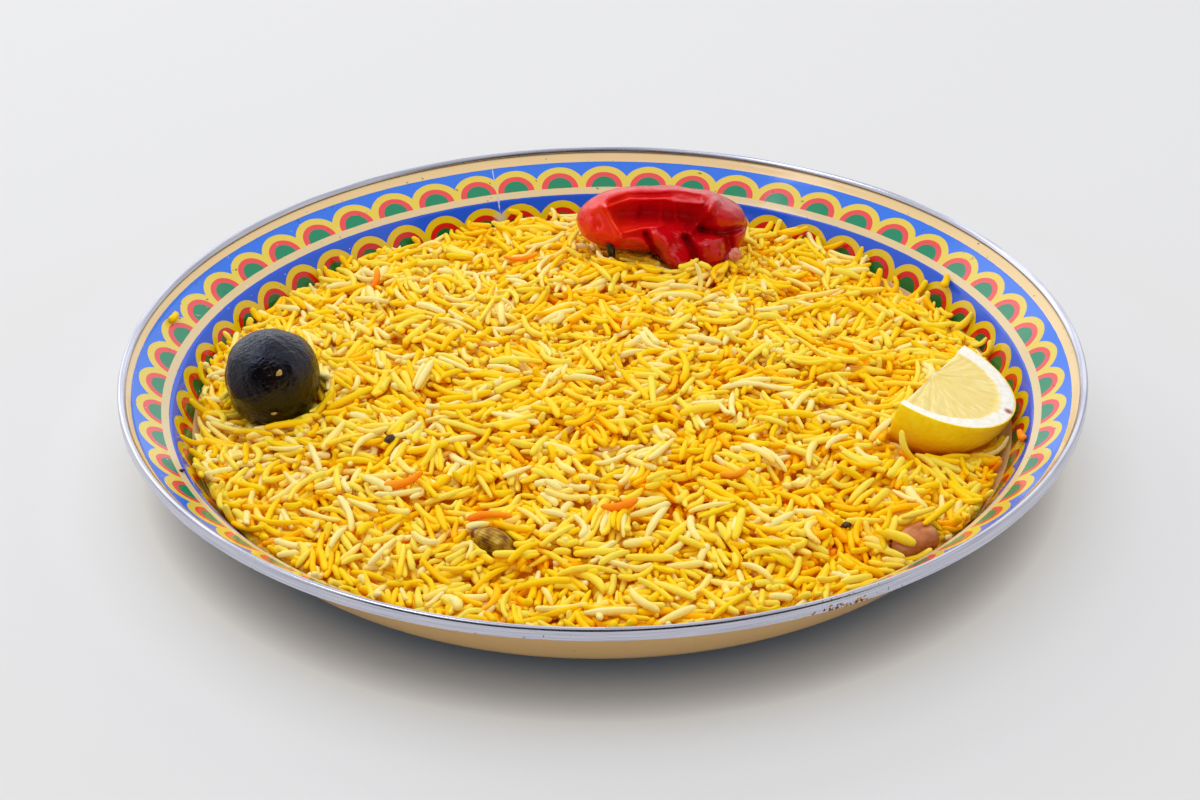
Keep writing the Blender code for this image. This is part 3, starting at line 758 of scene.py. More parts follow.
# %% Stalk bark
stalk, tree, shader = start_material("dry_stalk", Roughness=0.55)
place = add_node(tree, "TexCoord").outputs["Object"]
grain = add_node(tree, "TexNoise", None, {"Vector": place, "Scale": 700.0, "Detail": 3.0})
grain = add_node(tree, "ValToRGB",
                 {"stops": ((0.35, "1c1d10"), (0.6, "3a361c"), (0.75, "8a7848"))}, {0: grain})
fill_inputs(tree, shader, {"Base Color": grain})
dress(stem_piece, stalk, "dry_stalk", "pepper_stem")

# %% [markdown]
# ## The dried lime
# A lime boiled in brine and dried for weeks is light, hard and black, with a leathery rind that
# keeps its pores and gets shallow dents. It is a ball with squared shoulders; the dents and the
# pebbled rind are smooth noise pushed in and out along the surface.

# %% Lime shape
lime_low, lime_high = box_mm("black_lime")
LIME_MIDDLE = (lime_low + lime_high) / 2
LIME_RADIUS = (lime_high[0] - lime_low[0]) / 2
LIME_ROWS, LIME_COLUMNS = 150, 300


def ball_directions(rows, columns):
    """Unit directions: rings between the two poles, evenly spaced in angle, then the poles."""
    polar = np.pi * (np.arange(rows) + 0.5)[:, None] / rows
    spin = np.linspace(0, 2 * np.pi, columns, endpoint=False)
    rings = np.stack([np.sin(polar) * np.cos(spin), np.sin(polar) * np.sin(spin),
                      np.cos(polar) * np.ones_like(spin)], -1)
    return np.concatenate([rings.reshape(-1, 3), [[0, 0, 1.0], [0, 0, -1.0]]])


way = ball_directions(LIME_ROWS, LIME_COLUMNS)
squared = 1 + 0.14 * (way[:, 0] * way[:, 2]) ** 2
rind = LIME_RADIUS * squared + 0.16 * waves(way * LIME_RADIUS, 9.0, 11)
rind += 0.045 * waves(way * LIME_RADIUS, 2.4, 12, 20) + 0.035 * waves(way * LIME_RADIUS, 1.1, 13, 24)
# Flattened strip down its left side, where it dried against another fruit.
rind -= 0.5 * np.exp(-((way[:, 0] + 0.93) / 0.10) ** 2)
lime_points = way * rind[:, None] + LIME_MIDDLE
lime_piece = put_mesh("dried_black_lime", lime_points, capped_faces(LIME_ROWS, LIME_COLUMNS))

# %% Lime rind
lime_rind, tree, shader = start_material("dried_lime_rind", Roughness=0.15, IOR=1.5,
                                         Specular_IOR_Level=0.6, Specular_Tint=linear("d2dafa"))
place = add_node(tree, "TexCoord").outputs["Object"]
centred = add_node(tree, "Mapping", None, {"Vector": place, "Location": tuple(-LIME_MIDDLE * MM)})
tone = add_node(tree, "TexNoise", None, {"Vector": centred, "Scale": 90.0, "Detail": 3.0})
parts = add_node(tree, "SeparateXYZ", None, {0: centred})
# Painted reflection: the rind is painted browner towards the bottom, for the yellow rice mirrored there;
# the noise gives it patches of its own brown tone.
painted_rice_reflection = add_node(tree, "MapRange", None, {0: parts.outputs[2], 1: 0.004, 2: -0.012, 3: 0.0, 4: 0.32})
tone = add_node(tree, "Math", ADD, {0: tone, 1: painted_rice_reflection})
tone = add_node(tree, "ValToRGB",
                {"stops": ((0.4, "050508"), (0.62, "140b03"), (0.9, "341a02"))}, {0: tone})
pores = add_node(tree, "TexNoise", None,
                 {"Vector": centred, "Scale": 620.0, "Detail": 4.0, "Roughness": 0.6})
pores = add_node(tree, "Bump", None, {"Strength": 0.7, "Distance": 0.0006, "Height": pores})
fill_inputs(tree, shader, {"Base Color": tone, "Normal": pores})
dress(lime_piece, lime_rind, "dried_lime", "black_lime")

# %% [markdown]
# ## The lemon wedge
# A half lemon was cut through its core, which leaves a quarter: a peel shaped like part of an
# egg and two flat cuts. The three surfaces are three grids that share their edges point for
# point. The cuts carry a second map, the distance from the peel and the angle round the core,
# and the finish uses it for the pith and for the walls between the segments.

# %% Lemon shape
LEMON_TURN = (-8.0, 18.0, -31.0)
LEMON_RADIUS = 27.5
LEMON_DEPTH = 24.0
LEMON_ROUND, LEMON_DOWN, LEMON_IN = 140, 70, 60
lemon_low, lemon_high = box_mm("lemon_wedge")
LEMON_CORE = (lemon_low + lemon_high) / 2 + np.array([-5.32, 1.72, 10.36])

turn_share = np.linspace(-0.5, 0.5, LEMON_ROUND) * np.pi        # round the core, along the rim
dip_share = np.linspace(0, 0.5, LEMON_DOWN) * np.pi             # from the rim down to the tip
inward = np.linspace(0, 1, LEMON_IN)                            # from the core out to the peel


def lemon_peel(turn, dip):
    """A point of the peel: an ellipsoid at an angle round the core and an angle below the rim."""
    return np.stack([LEMON_RADIUS * np.cos(dip) * np.cos(turn), LEMON_RADIUS * np.cos(dip) * np.sin(turn),
                     -LEMON_DEPTH * np.sin(dip) * np.ones_like(turn)], -1)


peel = lemon_peel(turn_share[None], dip_share[:, None])
side_dip = np.concatenate([dip_share, dip_share[::-1][1:]])
side_turn = np.concatenate([np.full(LEMON_DOWN, -np.pi / 2), np.full(LEMON_DOWN - 1, np.pi / 2)])
top_cut = inward[:, None, None] * peel[0][None]
side_cut = inward[:, None, None] * lemon_peel(side_turn, side_dip)[None]

# %% Lemon relief: sunken sacs on the cuts, pores on the peel
# The juice sacs stand a little below the pith, in soft streaks that run out from the core.
streaks = waves(np.stack([turn_share * 14, np.zeros(LEMON_ROUND)], -1), 2.2, 21, 16)
# The pith is thickest where the lemon bulges most, and thinner towards the left.
pith_top = np.interp(np.degrees(turn_share), [-90, -45, 0, 30, 60, 90], [3.6, 4.4, 5.2, 5.7, 5.8, 7.0])
side_place = np.linspace(-1, 1, len(side_dip))
pith_side = np.interp(side_place, [-1, -0.5, 0.5, 1], [3.6, 4.3, 5.0, 7.0])
top_depth = (1 - inward)[:, None] * LEMON_RADIUS / pith_top
side_depth = (1 - inward)[:, None] * LEMON_RADIUS / pith_side
middle_rise = smooth_step((inward - 0.03) / 0.1)[:, None]
top_flesh = smooth_step((top_depth - 0.95) / 0.25) * middle_rise
side_flesh = smooth_step((side_depth - 0.95) / 0.25) * middle_rise
side_streaks = waves(np.stack([side_turn * 5 + side_dip * 14, side_dip], -1), 2.2, 22, 16)
# Along the straight edge both cuts sink by the same amount, so that they still meet.
EDGE_REACH, SINK, STREAK = 0.08, 0.45, 0.12
top_edge = smooth_step(1 - np.cos(turn_share) / EDGE_REACH)
side_edge = smooth_step(1 - np.sin(side_dip) / EDGE_REACH)
top_cut[..., 2] -= top_flesh * (SINK + STREAK * streaks * (1 - top_edge))
top_cut[..., 0] += top_flesh * SINK * top_edge
side_cut[..., 0] += side_flesh * (SINK + STREAK * side_streaks * (1 - side_edge))
side_cut[..., 2] -= side_flesh * SINK * side_edge
pores = waves(peel, 1.7, 23, 24)
fade = smooth_step(dip_share / 0.2) * smooth_step((dip_share[-1] - dip_share) / 0.2)
bulge = 0.07 * pores * np.sin(np.linspace(0, np.pi, LEMON_ROUND))[None] * fade[:, None]
peel += bulge[..., None] * peel / LEMON_RADIUS

# %% Lemon mesh: three grids joined along their shared edges
def joined_grids(grids):
    """Stack grids of points into one list of points and one group of quads for each grid."""
    points, quads, offset = [], [], 0
    for grid in grids:
        rows, columns = grid.shape[:2]
        quads.append(quad_grid(rows, columns, around=False) + offset)
        points.append(grid.reshape(-1, 3))
        offset += rows * columns
    return np.concatenate(points), quads


def weld(piece, distance):
    """Merge points closer than the distance and turn all faces outwards."""
    shape = bmesh.new()
    shape.from_mesh(piece.data)
    bmesh.ops.remove_doubles(shape, verts=shape.verts, dist=distance * MM)
    bmesh.ops.dissolve_degenerate(shape, edges=shape.edges, dist=1e-7)
    bmesh.ops.recalc_face_normals(shape, faces=shape.faces)
    if shape.calc_volume(signed=True) < 0:
        bmesh.ops.reverse_faces(shape, faces=shape.faces)
    open_edges = sum(1 for edge in shape.edges if not edge.is_manifold)
    shape.to_mesh(piece.data)
    shape.free()
    print(f"{piece.name}: {open_edges} open edges")

# %% Lemon maps for its finish
def over_lemon(on_peel, on_top, on_side):
    """One value for each point of the three grids; a number or a row is spread over its grid."""
    pairs = ((on_peel, peel), (on_top, top_cut), (on_side, side_cut))
    return np.concatenate([np.broadcast_to(value, grid.shape[:2]).ravel() for value, grid in pairs])


lemon_local, lemon_quads = joined_grids([peel, top_cut, side_cut])
lemon_points = lemon_local @ turn_matrix(*LEMON_TURN).T + LEMON_CORE
cut_depth = over_lemon(0.0, top_depth, side_depth)
cut_angle = over_lemon(0.0, turn_share, (side_dip + side_turn) / 2)
peel_dip = over_lemon(dip_share[:, None], 0.0, 0.0)
# A thin wall runs along the straight edge where the two cuts meet.
FAR_FROM_EDGE = 9.0
edge_gap = over_lemon(FAR_FROM_EDGE, inward[:, None] * LEMON_RADIUS * np.cos(turn_share),
                      inward[:, None] * LEMON_DEPTH * np.sin(side_dip))
# The pith has one brown mark.
MARK_TURN, MARK_OUT, MARK_SIZE = math.radians(8.0), 0.935 * LEMON_RADIUS, 1.45
mark_gap = np.hypot(top_cut[..., 0] - MARK_OUT * math.cos(MARK_TURN),
                    top_cut[..., 1] - MARK_OUT * math.sin(MARK_TURN))
mark = over_lemon(0.0, np.exp(-(mark_gap / MARK_SIZE) ** 4), 0.0)
lemon_piece = put_mesh("lemon_wedge_quarter", lemon_points, lemon_quads,
                       {"cut_depth": cut_depth, "cut_angle": cut_angle, "peel_dip": peel_dip,
                        "edge_gap": edge_gap, "pith_mark": mark}, closed=False)
WELD_GAP = 0.002                    # under the spacing of the points next to the core
weld(lemon_piece, WELD_GAP)
lemon_piece.data.set_sharp_from_angle(angle=math.radians(50))

# %% [markdown]
# ## Lemon: zest, pith and juice sacs
# The zest is waxy and pored, the pith a white sponge, and the sacs are wet and half clear.
# The cuts are recognised by their distance from the peel, and the pith's inner edge wavers.

# %% Lemon material
lemon_finish, tree, shader = start_material(
    "cut_lemon", Roughness=0.32, IOR=1.42, Subsurface_Weight=0.45,
    Subsurface_Radius=(0.003, 0.0025, 0.001), Subsurface_Scale=1.0)
place = add_node(tree, "TexCoord").outputs["Object"]
depth = add_node(tree, "Attribute", {"attribute_name": "cut_depth"}).outputs["Fac"]
angle = add_node(tree, "Attribute", {"attribute_name": "cut_angle"}).outputs["Fac"]
fray = add_node(tree, "TexNoise", None, {"Vector": place, "Scale": 260.0, "Detail": 3.0})
fray = add_node(tree, "Math", MULTIPLY_ADD, {0: fray, 1: 0.5, 2: -0.25})
frayed = add_node(tree, "Math", ADD, {0: depth, 1: fray})
is_flesh = add_node(tree, "MapRange", None, {0: frayed, 1: 0.86, 2: 1.08})
wall = add_node(tree, "Attribute", {"attribute_name": "edge_gap"}).outputs["Fac"]
wall = add_node(tree, "MapRange", None, {0: wall, 1: 0.2, 2: 1.1, 3: 0.62, 4: 1.0})
is_flesh = add_node(tree, "Math", MULTIPLY, {0: is_flesh, 1: wall})
is_cut = add_node(tree, "MapRange", None, {0: depth, 1: 0.04, 2: 0.12})
ray_place = add_node(tree, "CombineXYZ", None, {0: angle, 1: depth})
ray_map = add_node(tree, "Mapping", None, {"Vector": ray_place, "Scale": (8.0, 0.45, 1.0)})
rays = add_node(tree, "TexNoise", None, {"Vector": ray_map, "Scale": 2.0, "Detail": 4.0})
sacs = add_node(tree, "ValToRGB",
                {"stops": ((0.28, "e6cc68"), (0.52, "eed880"), (0.76, "f5e6a8"))}, {0: rays})
pores = add_node(tree, "TexNoise", None, {"Vector": place, "Scale": 600.0, "Detail": 2.0})
pith = add_node(tree, "ValToRGB", {"stops": ((0.3, "ede7d6"), (0.6, "faf7ee"))}, {0: pores})
zest = add_node(tree, "ValToRGB", {"stops": ((0.35, "ffdc0c"), (0.65, "ffe828"))}, {0: pores})
# The zest is painted towards orange lower down, a painted shade where the wedge lies on the rice.
dip = add_node(tree, "Attribute", {"attribute_name": "peel_dip"}).outputs["Fac"]
painted_low_shade = add_node(tree, "MapRange", None, {0: dip, 1: 0.3, 2: 1.2, 3: 0.0, 4: 0.8})
zest = add_node(tree, "Mix", COLOURS, {0: painted_low_shade, MIX_A: zest, MIX_B: linear("fab006")})
cut_tone = add_node(tree, "Mix", COLOURS, {0: is_flesh, MIX_A: pith, MIX_B: sacs})
tone = add_node(tree, "Mix", COLOURS, {0: is_cut, MIX_A: zest, MIX_B: cut_tone})
marked = add_node(tree, "Attribute", {"attribute_name": "pith_mark"}).outputs["Fac"]
tone = add_node(tree, "Mix", COLOURS, {0: marked, MIX_A: tone, MIX_B: linear("9c4604")})
relief = add_node(tree, "Bump", None, {"Strength": 0.25, "Distance": 0.0005, "Height": pores})
relief = add_node(tree, "Bump", None,
                  {"Strength": 0.10, "Distance": 0.0006, "Height": rays, "Normal": relief})
fill_inputs(tree, shader, {"Base Color": tone, "Normal": relief})
dress(lemon_piece, lemon_finish, "lemon", "lemon_wedge")

# %% [markdown]
# ## Cardamom and raisin
# The cardamom pod is a three-cornered husk with fine ribs from end to end, a short stalk at one
# end and a dark open tip at the other. The raisin is swollen with stock, smooth but dented.

# %% Cardamom shape
POD_TURN = (0.0, 5.0, -37.0)
POD_SIZE = (14.8, 8.0, 7.2)
POD_ROWS, POD_COLUMNS = 90, 160
pod_low, pod_high = box_mm("cardamom_pod")
way = ball_directions(POD_ROWS, POD_COLUMNS)
along, spin = way[:, 2], np.arctan2(way[:, 1], way[:, 0])
girth = np.sqrt(1 - along ** 2) * (1 - 0.24 * along - 0.16 * along ** 2) * (1 + 0.08 * np.cos(3 * spin))
girth *= 1 - 0.35 * smooth_step((along - 0.45) / 0.5)
ribs = 1 + 0.022 * np.cos(27 * spin + 0.6 * np.sin(3 * along)) + 0.02 * waves(way * 7, 3.0, 31)
nub = 0.20 * np.exp(-((along + 0.99) / 0.03) ** 2)
stretch = np.where(along < -0.93, along - 2.2 * (-0.93 - along), along)
pod_local = np.stack([stretch * POD_SIZE[0] / 2,
                      (girth * ribs + nub) * POD_SIZE[1] / 2 * np.cos(spin),
                      (girth * ribs + nub) * POD_SIZE[2] / 2 * np.sin(spin)], -1)
pod_local[-2:, 1:] = 0.0
pod_points = pod_local @ turn_matrix(*POD_TURN).T + (pod_low + pod_high) / 2
pod_piece = put_mesh("cardamom_husk_pod", pod_points, capped_faces(POD_ROWS, POD_COLUMNS),
                     {"pod_spin": np.cos(3 * spin), "pod_along": along, "pod_rib": np.cos(27 * spin)})

# %% Cardamom husk
husk, tree, shader = start_material("cardamom_husk", Roughness=0.45, IOR=1.45, Specular_IOR_Level=0.25)
place = add_node(tree, "TexCoord").outputs["Object"]
corner = add_node(tree, "Attribute", {"attribute_name": "pod_spin"}).outputs["Fac"]
end = add_node(tree, "Attribute", {"attribute_name": "pod_along"}).outputs["Fac"]
blotch = add_node(tree, "TexNoise", None, {"Vector": place, "Scale": 380.0, "Detail": 4.0})
lift = add_node(tree, "MapRange", None, {0: corner, 1: 0.3, 2: 1.0, 3: 0.0, 4: 0.16})
blotch = add_node(tree, "Math", ADD, {0: blotch, 1: lift})
rib = add_node(tree, "Attribute", {"attribute_name": "pod_rib"}).outputs["Fac"]
blotch = add_node(tree, "Math", MULTIPLY_ADD, {0: rib, 1: 0.035, 2: blotch})
tone = add_node(tree, "ValToRGB",
                {"stops": ((0.30, "4c2e00"), (0.48, "926200"), (0.64, "b08412"), (0.82, "d0b45c"))},
                {0: blotch})
dark_end = add_node(tree, "MapRange", None, {0: end, 1: 0.86, 2: 0.97})
tone = add_node(tree, "Mix", COLOURS, {0: dark_end, MIX_A: tone, MIX_B: linear("2a1505")})
stalk_end = add_node(tree, "MapRange", None, {0: end, 1: -0.93, 2: -0.97})
tone = add_node(tree, "Mix", COLOURS, {0: stalk_end, MIX_A: tone, MIX_B: linear("6a402c")})
fibre = add_node(tree, "Bump", None, {"Strength": 0.3, "Distance": 0.0004, "Height": blotch})
fill_inputs(tree, shader, {"Base Color": tone, "Normal": fibre})
dress(pod_piece, husk, "cardamom_husk", "cardamom_pod")

# %% Raisin shape
RAISIN_TURN = (0.0, 0.0, 38.0)
RAISIN_SIZE = (16.0, 10.0, 8.8)
RAISIN_ROWS, RAISIN_COLUMNS = 80, 140
raisin_low, raisin_high = box_mm("raisin")
way = ball_directions(RAISIN_ROWS, RAISIN_COLUMNS)
along, spin = way[:, 2], np.arctan2(way[:, 1], way[:, 0])
girth = np.sqrt(1 - along ** 2) * (1 + 0.12 * along) * (1 + 0.05 * np.cos(5 * spin + 2 * along))
girth *= 1 + 0.035 * waves(way * 6, 3.5, 41) + 0.012 * waves(way * 6, 1.4, 42)
raisin_local = np.stack([along * RAISIN_SIZE[0] / 2, girth * RAISIN_SIZE[1] / 2 * np.cos(spin),
                         girth * RAISIN_SIZE[2] / 2 * np.sin(spin)], -1)
raisin_points = raisin_local @ turn_matrix(*RAISIN_TURN).T + (raisin_low + raisin_high) / 2
raisin_piece = put_mesh("plump_raisin", raisin_points, capped_faces(RAISIN_ROWS, RAISIN_COLUMNS),
                        {"raisin_along": along})

# %% Raisin skin
raisin_skin, tree, shader = start_material(
    "soaked_raisin_skin", Roughness=0.36, IOR=1.42, Subsurface_Weight=0.35,
    Subsurface_Radius=(0.003, 0.0012, 0.0005), Subsurface_Scale=1.0)
place = add_node(tree, "TexCoord").outputs["Object"]
tone = add_node(tree, "TexNoise", None, {"Vector": place, "Scale": 140.0, "Detail": 3.0})
tone = add_node(tree, "ValToRGB",
                {"stops": ((0.35, "b4622c"), (0.5, "c67e48"), (0.68, "d49a6c"))}, {0: tone})
end = add_node(tree, "Attribute", {"attribute_name": "raisin_along"}).outputs["Fac"]
stalk_end = add_node(tree, "MapRange", None, {0: end, 1: 0.72, 2: 0.96})
tone = add_node(tree, "Mix", COLOURS, {0: stalk_end, MIX_A: tone, MIX_B: linear("5a2c10")})
fill_inputs(tree, shader, {"Base Color": tone})
dress(raisin_piece, raisin_skin, "raisin_skin", "raisin")

# %% [markdown]
# ## The heap's outline
# The heap is a low dome whose edge lies on the plate's steep wall, lower where someone has
# already taken some, and higher where a clump was pushed up. One formula says how high the rice
# reaches at any place. The core and the loose grains both follow it, and the grains add clumps.

# %% Heap outline
HEAP_EDGE = 16.4
HEAP_RISE = 9.6
HEAP_DIPS = (                       # bearing, half-width, depth; a negative depth is a clump
    (101.0, 18.0, 6.6), (54.0, 7.0, 3.8), (70.0, 8.0, 1.4), (33.0, 9.0, -1.0), (-32.0, 4.0, 1.8),
    (-52.0, 4.0, 1.4), (-78.0, 8.0, -1.6), (-97.0, 9.0, 2.2))
HEAP_MOUNDS = (                     # x, y, reach, height
    (-2.0, 71.0, 10.0, 2.4), (18.0, 70.0, 9.0, 2.0), (86.0, -90.0, 8.0, 1.2))
HEAP_RIPPLES = (                    # wavelength, direction in degrees, height
    (47.0, 20.0, 0.8), (31.0, 95.0, 0.7), (23.0, 152.0, 0.6))
wall_rows = (plate_upper[:, 0] > 118) & (plate_upper[:, 0] < 140)
wall_heights, wall_radii = plate_upper[wall_rows, 1], plate_upper[wall_rows, 0]


def heap_edge(bearing):
    """Height where the rice meets the wall: a level line with bell-shaped dips in it."""
    drop = np.zeros_like(bearing)
    for middle, wide, depth in HEAP_DIPS:
        away = (bearing - middle + 180) % 360 - 180
        drop += depth * np.exp(-((away / wide) ** 2))
    return HEAP_EDGE - drop


def heap_top(x, y):
    """Height of the rice and how far out the place is, 0 in the middle and 1 at the wall."""
    bearing = np.degrees(np.arctan2(x, y))
    edge = heap_edge(bearing)
    outwards = np.hypot(x, y) / np.interp(edge, wall_heights, wall_radii)
    ripples = np.zeros_like(x)
    for wavelength, direction, height in HEAP_RIPPLES:
        along = x * math.cos(math.radians(direction)) + y * math.sin(math.radians(direction))
        ripples += height * np.sin(2 * np.pi * along / wavelength)
    for mound_x, mound_y, reach, height in HEAP_MOUNDS:
        ripples += height * np.exp(-((x - mound_x) ** 2 + (y - mound_y) ** 2) / reach ** 2)
    inside = outwards.clip(0, 1)
    level = HEAP_EDGE + (edge - HEAP_EDGE) * inside ** 4 + HEAP_RISE * (1 - inside ** 2)
    return level + ripples * (1 - inside ** 8), outwards

# %% [markdown]
# ## The core under the grains
# Only the top layers of a heap are ever seen. Below them the rice is one closed body: it lies on
# the plate, stops well under the surface, and has relief and colour of its own, so that a gap
# between grains looks into more rice.

# %% Core
CORE_DEPTH, CORE_EDGE_DEPTH = 6.5, 3.0      # how far it stays under the heap, inside and at the wall
CORE_COLUMNS, CORE_RINGS = 240, 60
BED_GAP, WALL_GAP = 0.3, 0.5
core_shares = np.linspace(1.0, 0.02, CORE_RINGS)
spin = np.linspace(0, 2 * np.pi, CORE_COLUMNS, endpoint=False)
bed_rows = plate_upper[(plate_upper[:, 0] > 2) & (plate_upper[:, 0] < 124)]
bed_ring = np.stack([bed_rows[:, :1] * np.sin(spin), bed_rows[:, :1] * np.cos(spin),
                     bed_rows[:, 1:] + BED_GAP + 0 * spin], -1)
core_edge = heap_edge(np.degrees(spin)) - CORE_EDGE_DEPTH
core_radius = np.interp(core_edge, wall_heights, wall_radii) - WALL_GAP
core_x = core_shares[:, None] * core_radius * np.sin(spin)
core_y = core_shares[:, None] * core_radius * np.cos(spin)
core_z, _ = heap_top(core_x, core_y)
sinking = smooth_step((1 - core_shares) / 0.12)[:, None]
core_drop = CORE_EDGE_DEPTH + (CORE_DEPTH - CORE_EDGE_DEPTH) * sinking
grit = np.stack([core_x, core_y], -1)
core_z = core_z - core_drop + 0.8 * waves(grit, 7.0, 51, 16) + 0.4 * waves(grit, 3.0, 52, 16)
core_rings = np.concatenate([bed_ring, np.stack([core_x, core_y, core_z], -1)])
core_poles = np.array([[0, 0, core_rings[0, 0, 2]], [0, 0, core_z[-1].mean()]])
core_piece = put_mesh("rice_core", np.concatenate([core_rings.reshape(-1, 3), core_poles]),
                      capped_faces(len(core_rings), CORE_COLUMNS))
print("core rises to", core_z.max())

# %% [markdown]
# ## Cooked rice as a material
# Boiled starch is soft, wet and half clear. In a heap the light goes from grain to grain so often
# that its glow needs no scattering inside each grain: a very pale colour and many bounces do it,
# and the saffron warms the light at every bounce, so that the gaps turn golden. Each kind of
# grain gets its own range of colours, and each grain a place in it, with one end often paler.

# %% Rice materials
GRAIN_KINDS = {             # name: (share of the grains, palest, middle, deepest colour)
    "cream": (0.15, "f8e898", "fae47c", "ffdc58"),
    "pale_yellow": (0.37, "f6e052", "fada38", "ffd41c"),
    "yellow": (0.345, "f8d416", "fbcd0a", "ffc400"),
    "gold": (0.12, "fcca00", "ffc000", "ffb400"),
    "orange": (0.015, "ffa820", "ff9410", "ff8008"),
}


def rice_material(name, pale, middle, deep):
    """Moist starch: a pale, soft-lit surface coloured by its dye, under a faint wet gloss."""
    made, tree, shader = start_material(name, Roughness=0.36, IOR=1.37, Specular_IOR_Level=0.14)
    place = add_node(tree, "TexCoord").outputs["Object"]
    dye = add_node(tree, "Attribute", {"attribute_name": "dye"}).outputs["Fac"]
    cloud = add_node(tree, "TexNoise", None, {"Vector": place, "Scale": 300.0, "Detail": 2.0})
    cloud = add_node(tree, "MapRange", None, {0: cloud, 1: 0.3, 2: 0.7, 3: -0.14, 4: 0.14})
    dye = add_node(tree, "Math", ADD, {0: dye, 1: cloud})
    tone = add_node(tree, "ValToRGB", {"stops": ((0.1, pale), (0.5, middle), (0.95, deep))}, {0: dye})
    fill_inputs(tree, shader, {"Base Color": tone})
    return made


core_rice, tree, shader = start_material("packed_rice", Roughness=0.6, Subsurface_Weight=1.0,
                                         Subsurface_Radius=(0.0042, 0.0042, 0.0026), Subsurface_Scale=1.0)
place = add_node(tree, "TexCoord").outputs["Object"]
tone = add_node(tree, "TexNoise", None, {"Vector": place, "Scale": 260.0, "Detail": 3.0})
tone = add_node(tree, "ValToRGB",
                {"stops": ((0.35, "ffb414"), (0.5, "ffc21a"), (0.7, "ffce28"))}, {0: tone})
fill_inputs(tree, shader, {"Base Color": tone})
dress(core_piece, core_rice, "rice", "rice_heap")

# %% [markdown]
# ## Letting the grains fall
# Rice looks right only if every grain lies on the ones below. A physics engine could drop
# thousands of grains, but would need many minutes. Here a height map stands in for the heap:
# it holds, for every spot, the lowest height at which the middle line of a new grain can lie.
# A grain is tried at a few places and turns; each time it is let down until it touches, and the
# try that lies deepest under the wished surface wins. Then the map rises along the grain, and
# the next one falls.
# Toppings are a ceiling at first; at the end their flanks count as ground, so that the last
# grains lean against them, and others lean up the plate's wall.

# %% Height map
CELL = 0.5
MAP_HALF = 138.0
GRAIN_RADIUS = 1.14
map_axis = np.arange(-MAP_HALF, MAP_HALF + CELL, CELL)
map_x, map_y = np.meshgrid(map_axis, map_axis, indexing="ij")
map_top, map_out = heap_top(map_x, map_y)

# %% Map helpers
def clumps(x, y):
    """How much higher or lower the rice lies where it clumps together: waves of two sizes."""
    place = np.stack([x, y], -1)
    return 0.8 * waves(place, 14.0, 72, 16) + 0.4 * waves(place, 7.0, 73, 16)


map_top = map_top + clumps(map_x, map_y) * (1 - map_out.clip(0, 1) ** 8)


def plate_floor(radius):
    """Lowest middle line on the plate: the upper side, lifted until a ball of rice clears it."""
    lift = np.linspace(-GRAIN_RADIUS, GRAIN_RADIUS, 9)
    heights = [np.interp(radius + shift, plate_upper[:, 0], plate_upper[:, 1])
               + math.sqrt(max(GRAIN_RADIUS ** 2 - shift ** 2, 0)) for shift in lift]
    return np.max(heights, axis=0)


def map_cells(x, y):
    """Row and column of the map's cell nearest to each place."""
    row = np.clip(np.rint((x + MAP_HALF) / CELL).astype(int), 0, len(map_axis) - 1)
    column = np.clip(np.rint((y + MAP_HALF) / CELL).astype(int), 0, len(map_axis) - 1)
    return row, column


def spread(values, cells, pick):
    """Widen each value of a map to the cells round it, keeping the lowest or highest (pick)."""
    wide = values.copy()
    for row_shift in range(-cells, cells + 1):
        for column_shift in range(-cells, cells + 1):
            if math.hypot(row_shift, column_shift) < cells + 0.5:
                wide = pick(wide, np.roll(values, (row_shift, column_shift), (0, 1)))
    return wide

# %% The ground that the first grains land on
floor_map = plate_floor(np.hypot(map_x, map_y))
core_map = map_top - CORE_DEPTH + 0.6 * GRAIN_RADIUS
ground = np.where(map_out < 0.93, np.maximum(floor_map, core_map), floor_map)

# %% Toppings in the map: their undersides as a ceiling, their upper sides for later
topping_points = np.concatenate([pepper_points, stem_rings.reshape(-1, 3), lime_points, lemon_points,
                                 pod_points, raisin_points])
topping_cells = map_cells(topping_points[:, 0], topping_points[:, 1])
NOWHERE = 1e3
underside = np.full(ground.shape, NOWHERE)
np.minimum.at(underside, topping_cells, topping_points[:, 2])
upside = np.full(ground.shape, -NOWHERE)
np.maximum.at(upside, topping_cells, topping_points[:, 2])
upside = spread(upside, 1, np.maximum)
ceiling = spread(underside, 2, np.minimum)
print("map", ground.shape, "cells under toppings", int((ceiling < NOWHERE).sum()))

# %% How grains lie: numbers
LOOKS = 90                  # places looked at for each grain
SPOTS = 10                  # the lowest of them, where the grain is let down
TURNS = 5                   # headings tried at each of those
TRIES = SPOTS * TURNS
ARCHES_TRIED = np.array([-1.3, 0.0, 0.9])[:, None, None]
LENGTH_MEAN, LENGTH_SPREAD, LENGTH_LIMITS = 13.0, 2.4, (6.5, 17.5)
BROKEN_LENGTH, BROKEN_SHARE = 0.55, 0.12
BENDS, BEND_SHARES = (0.5, 1.3, 2.6), (0.55, 0.33, 0.12)
TILTS, TILT_SHARES = (0.16, 0.42, 0.85), (0.40, 0.36, 0.24)
FLOW_SIZE, FLOW_SHARE = 34.0, 0.55          # grains lie in streams; this share of them follows
NOT_ALLOWED = 99.0
ANY_KIND = -1
draw = np.random.default_rng(2024)
SAMPLES = np.linspace(-1, 1, 11)
THIRD = 0.33                # the mean of share^2, so that a bend leaves the grain's middle in place
# Soft grains press into each other, more from the side than from above.
STAMP_WIDE = 2 * GRAIN_RADIUS * 0.42
STAMP_TALL = 2 * GRAIN_RADIUS * 0.43
stamp_rows, stamp_columns = np.meshgrid(np.arange(-4, 5), np.arange(-4, 5), indexing="ij")
stamp_gap = np.hypot(stamp_rows, stamp_columns).ravel() * CELL
near = stamp_gap < STAMP_WIDE
stamp_rows, stamp_columns = stamp_rows.ravel()[near], stamp_columns.ravel()[near]
stamp_rise = STAMP_TALL * np.sqrt(1 - (stamp_gap[near] / STAMP_WIDE) ** 2)

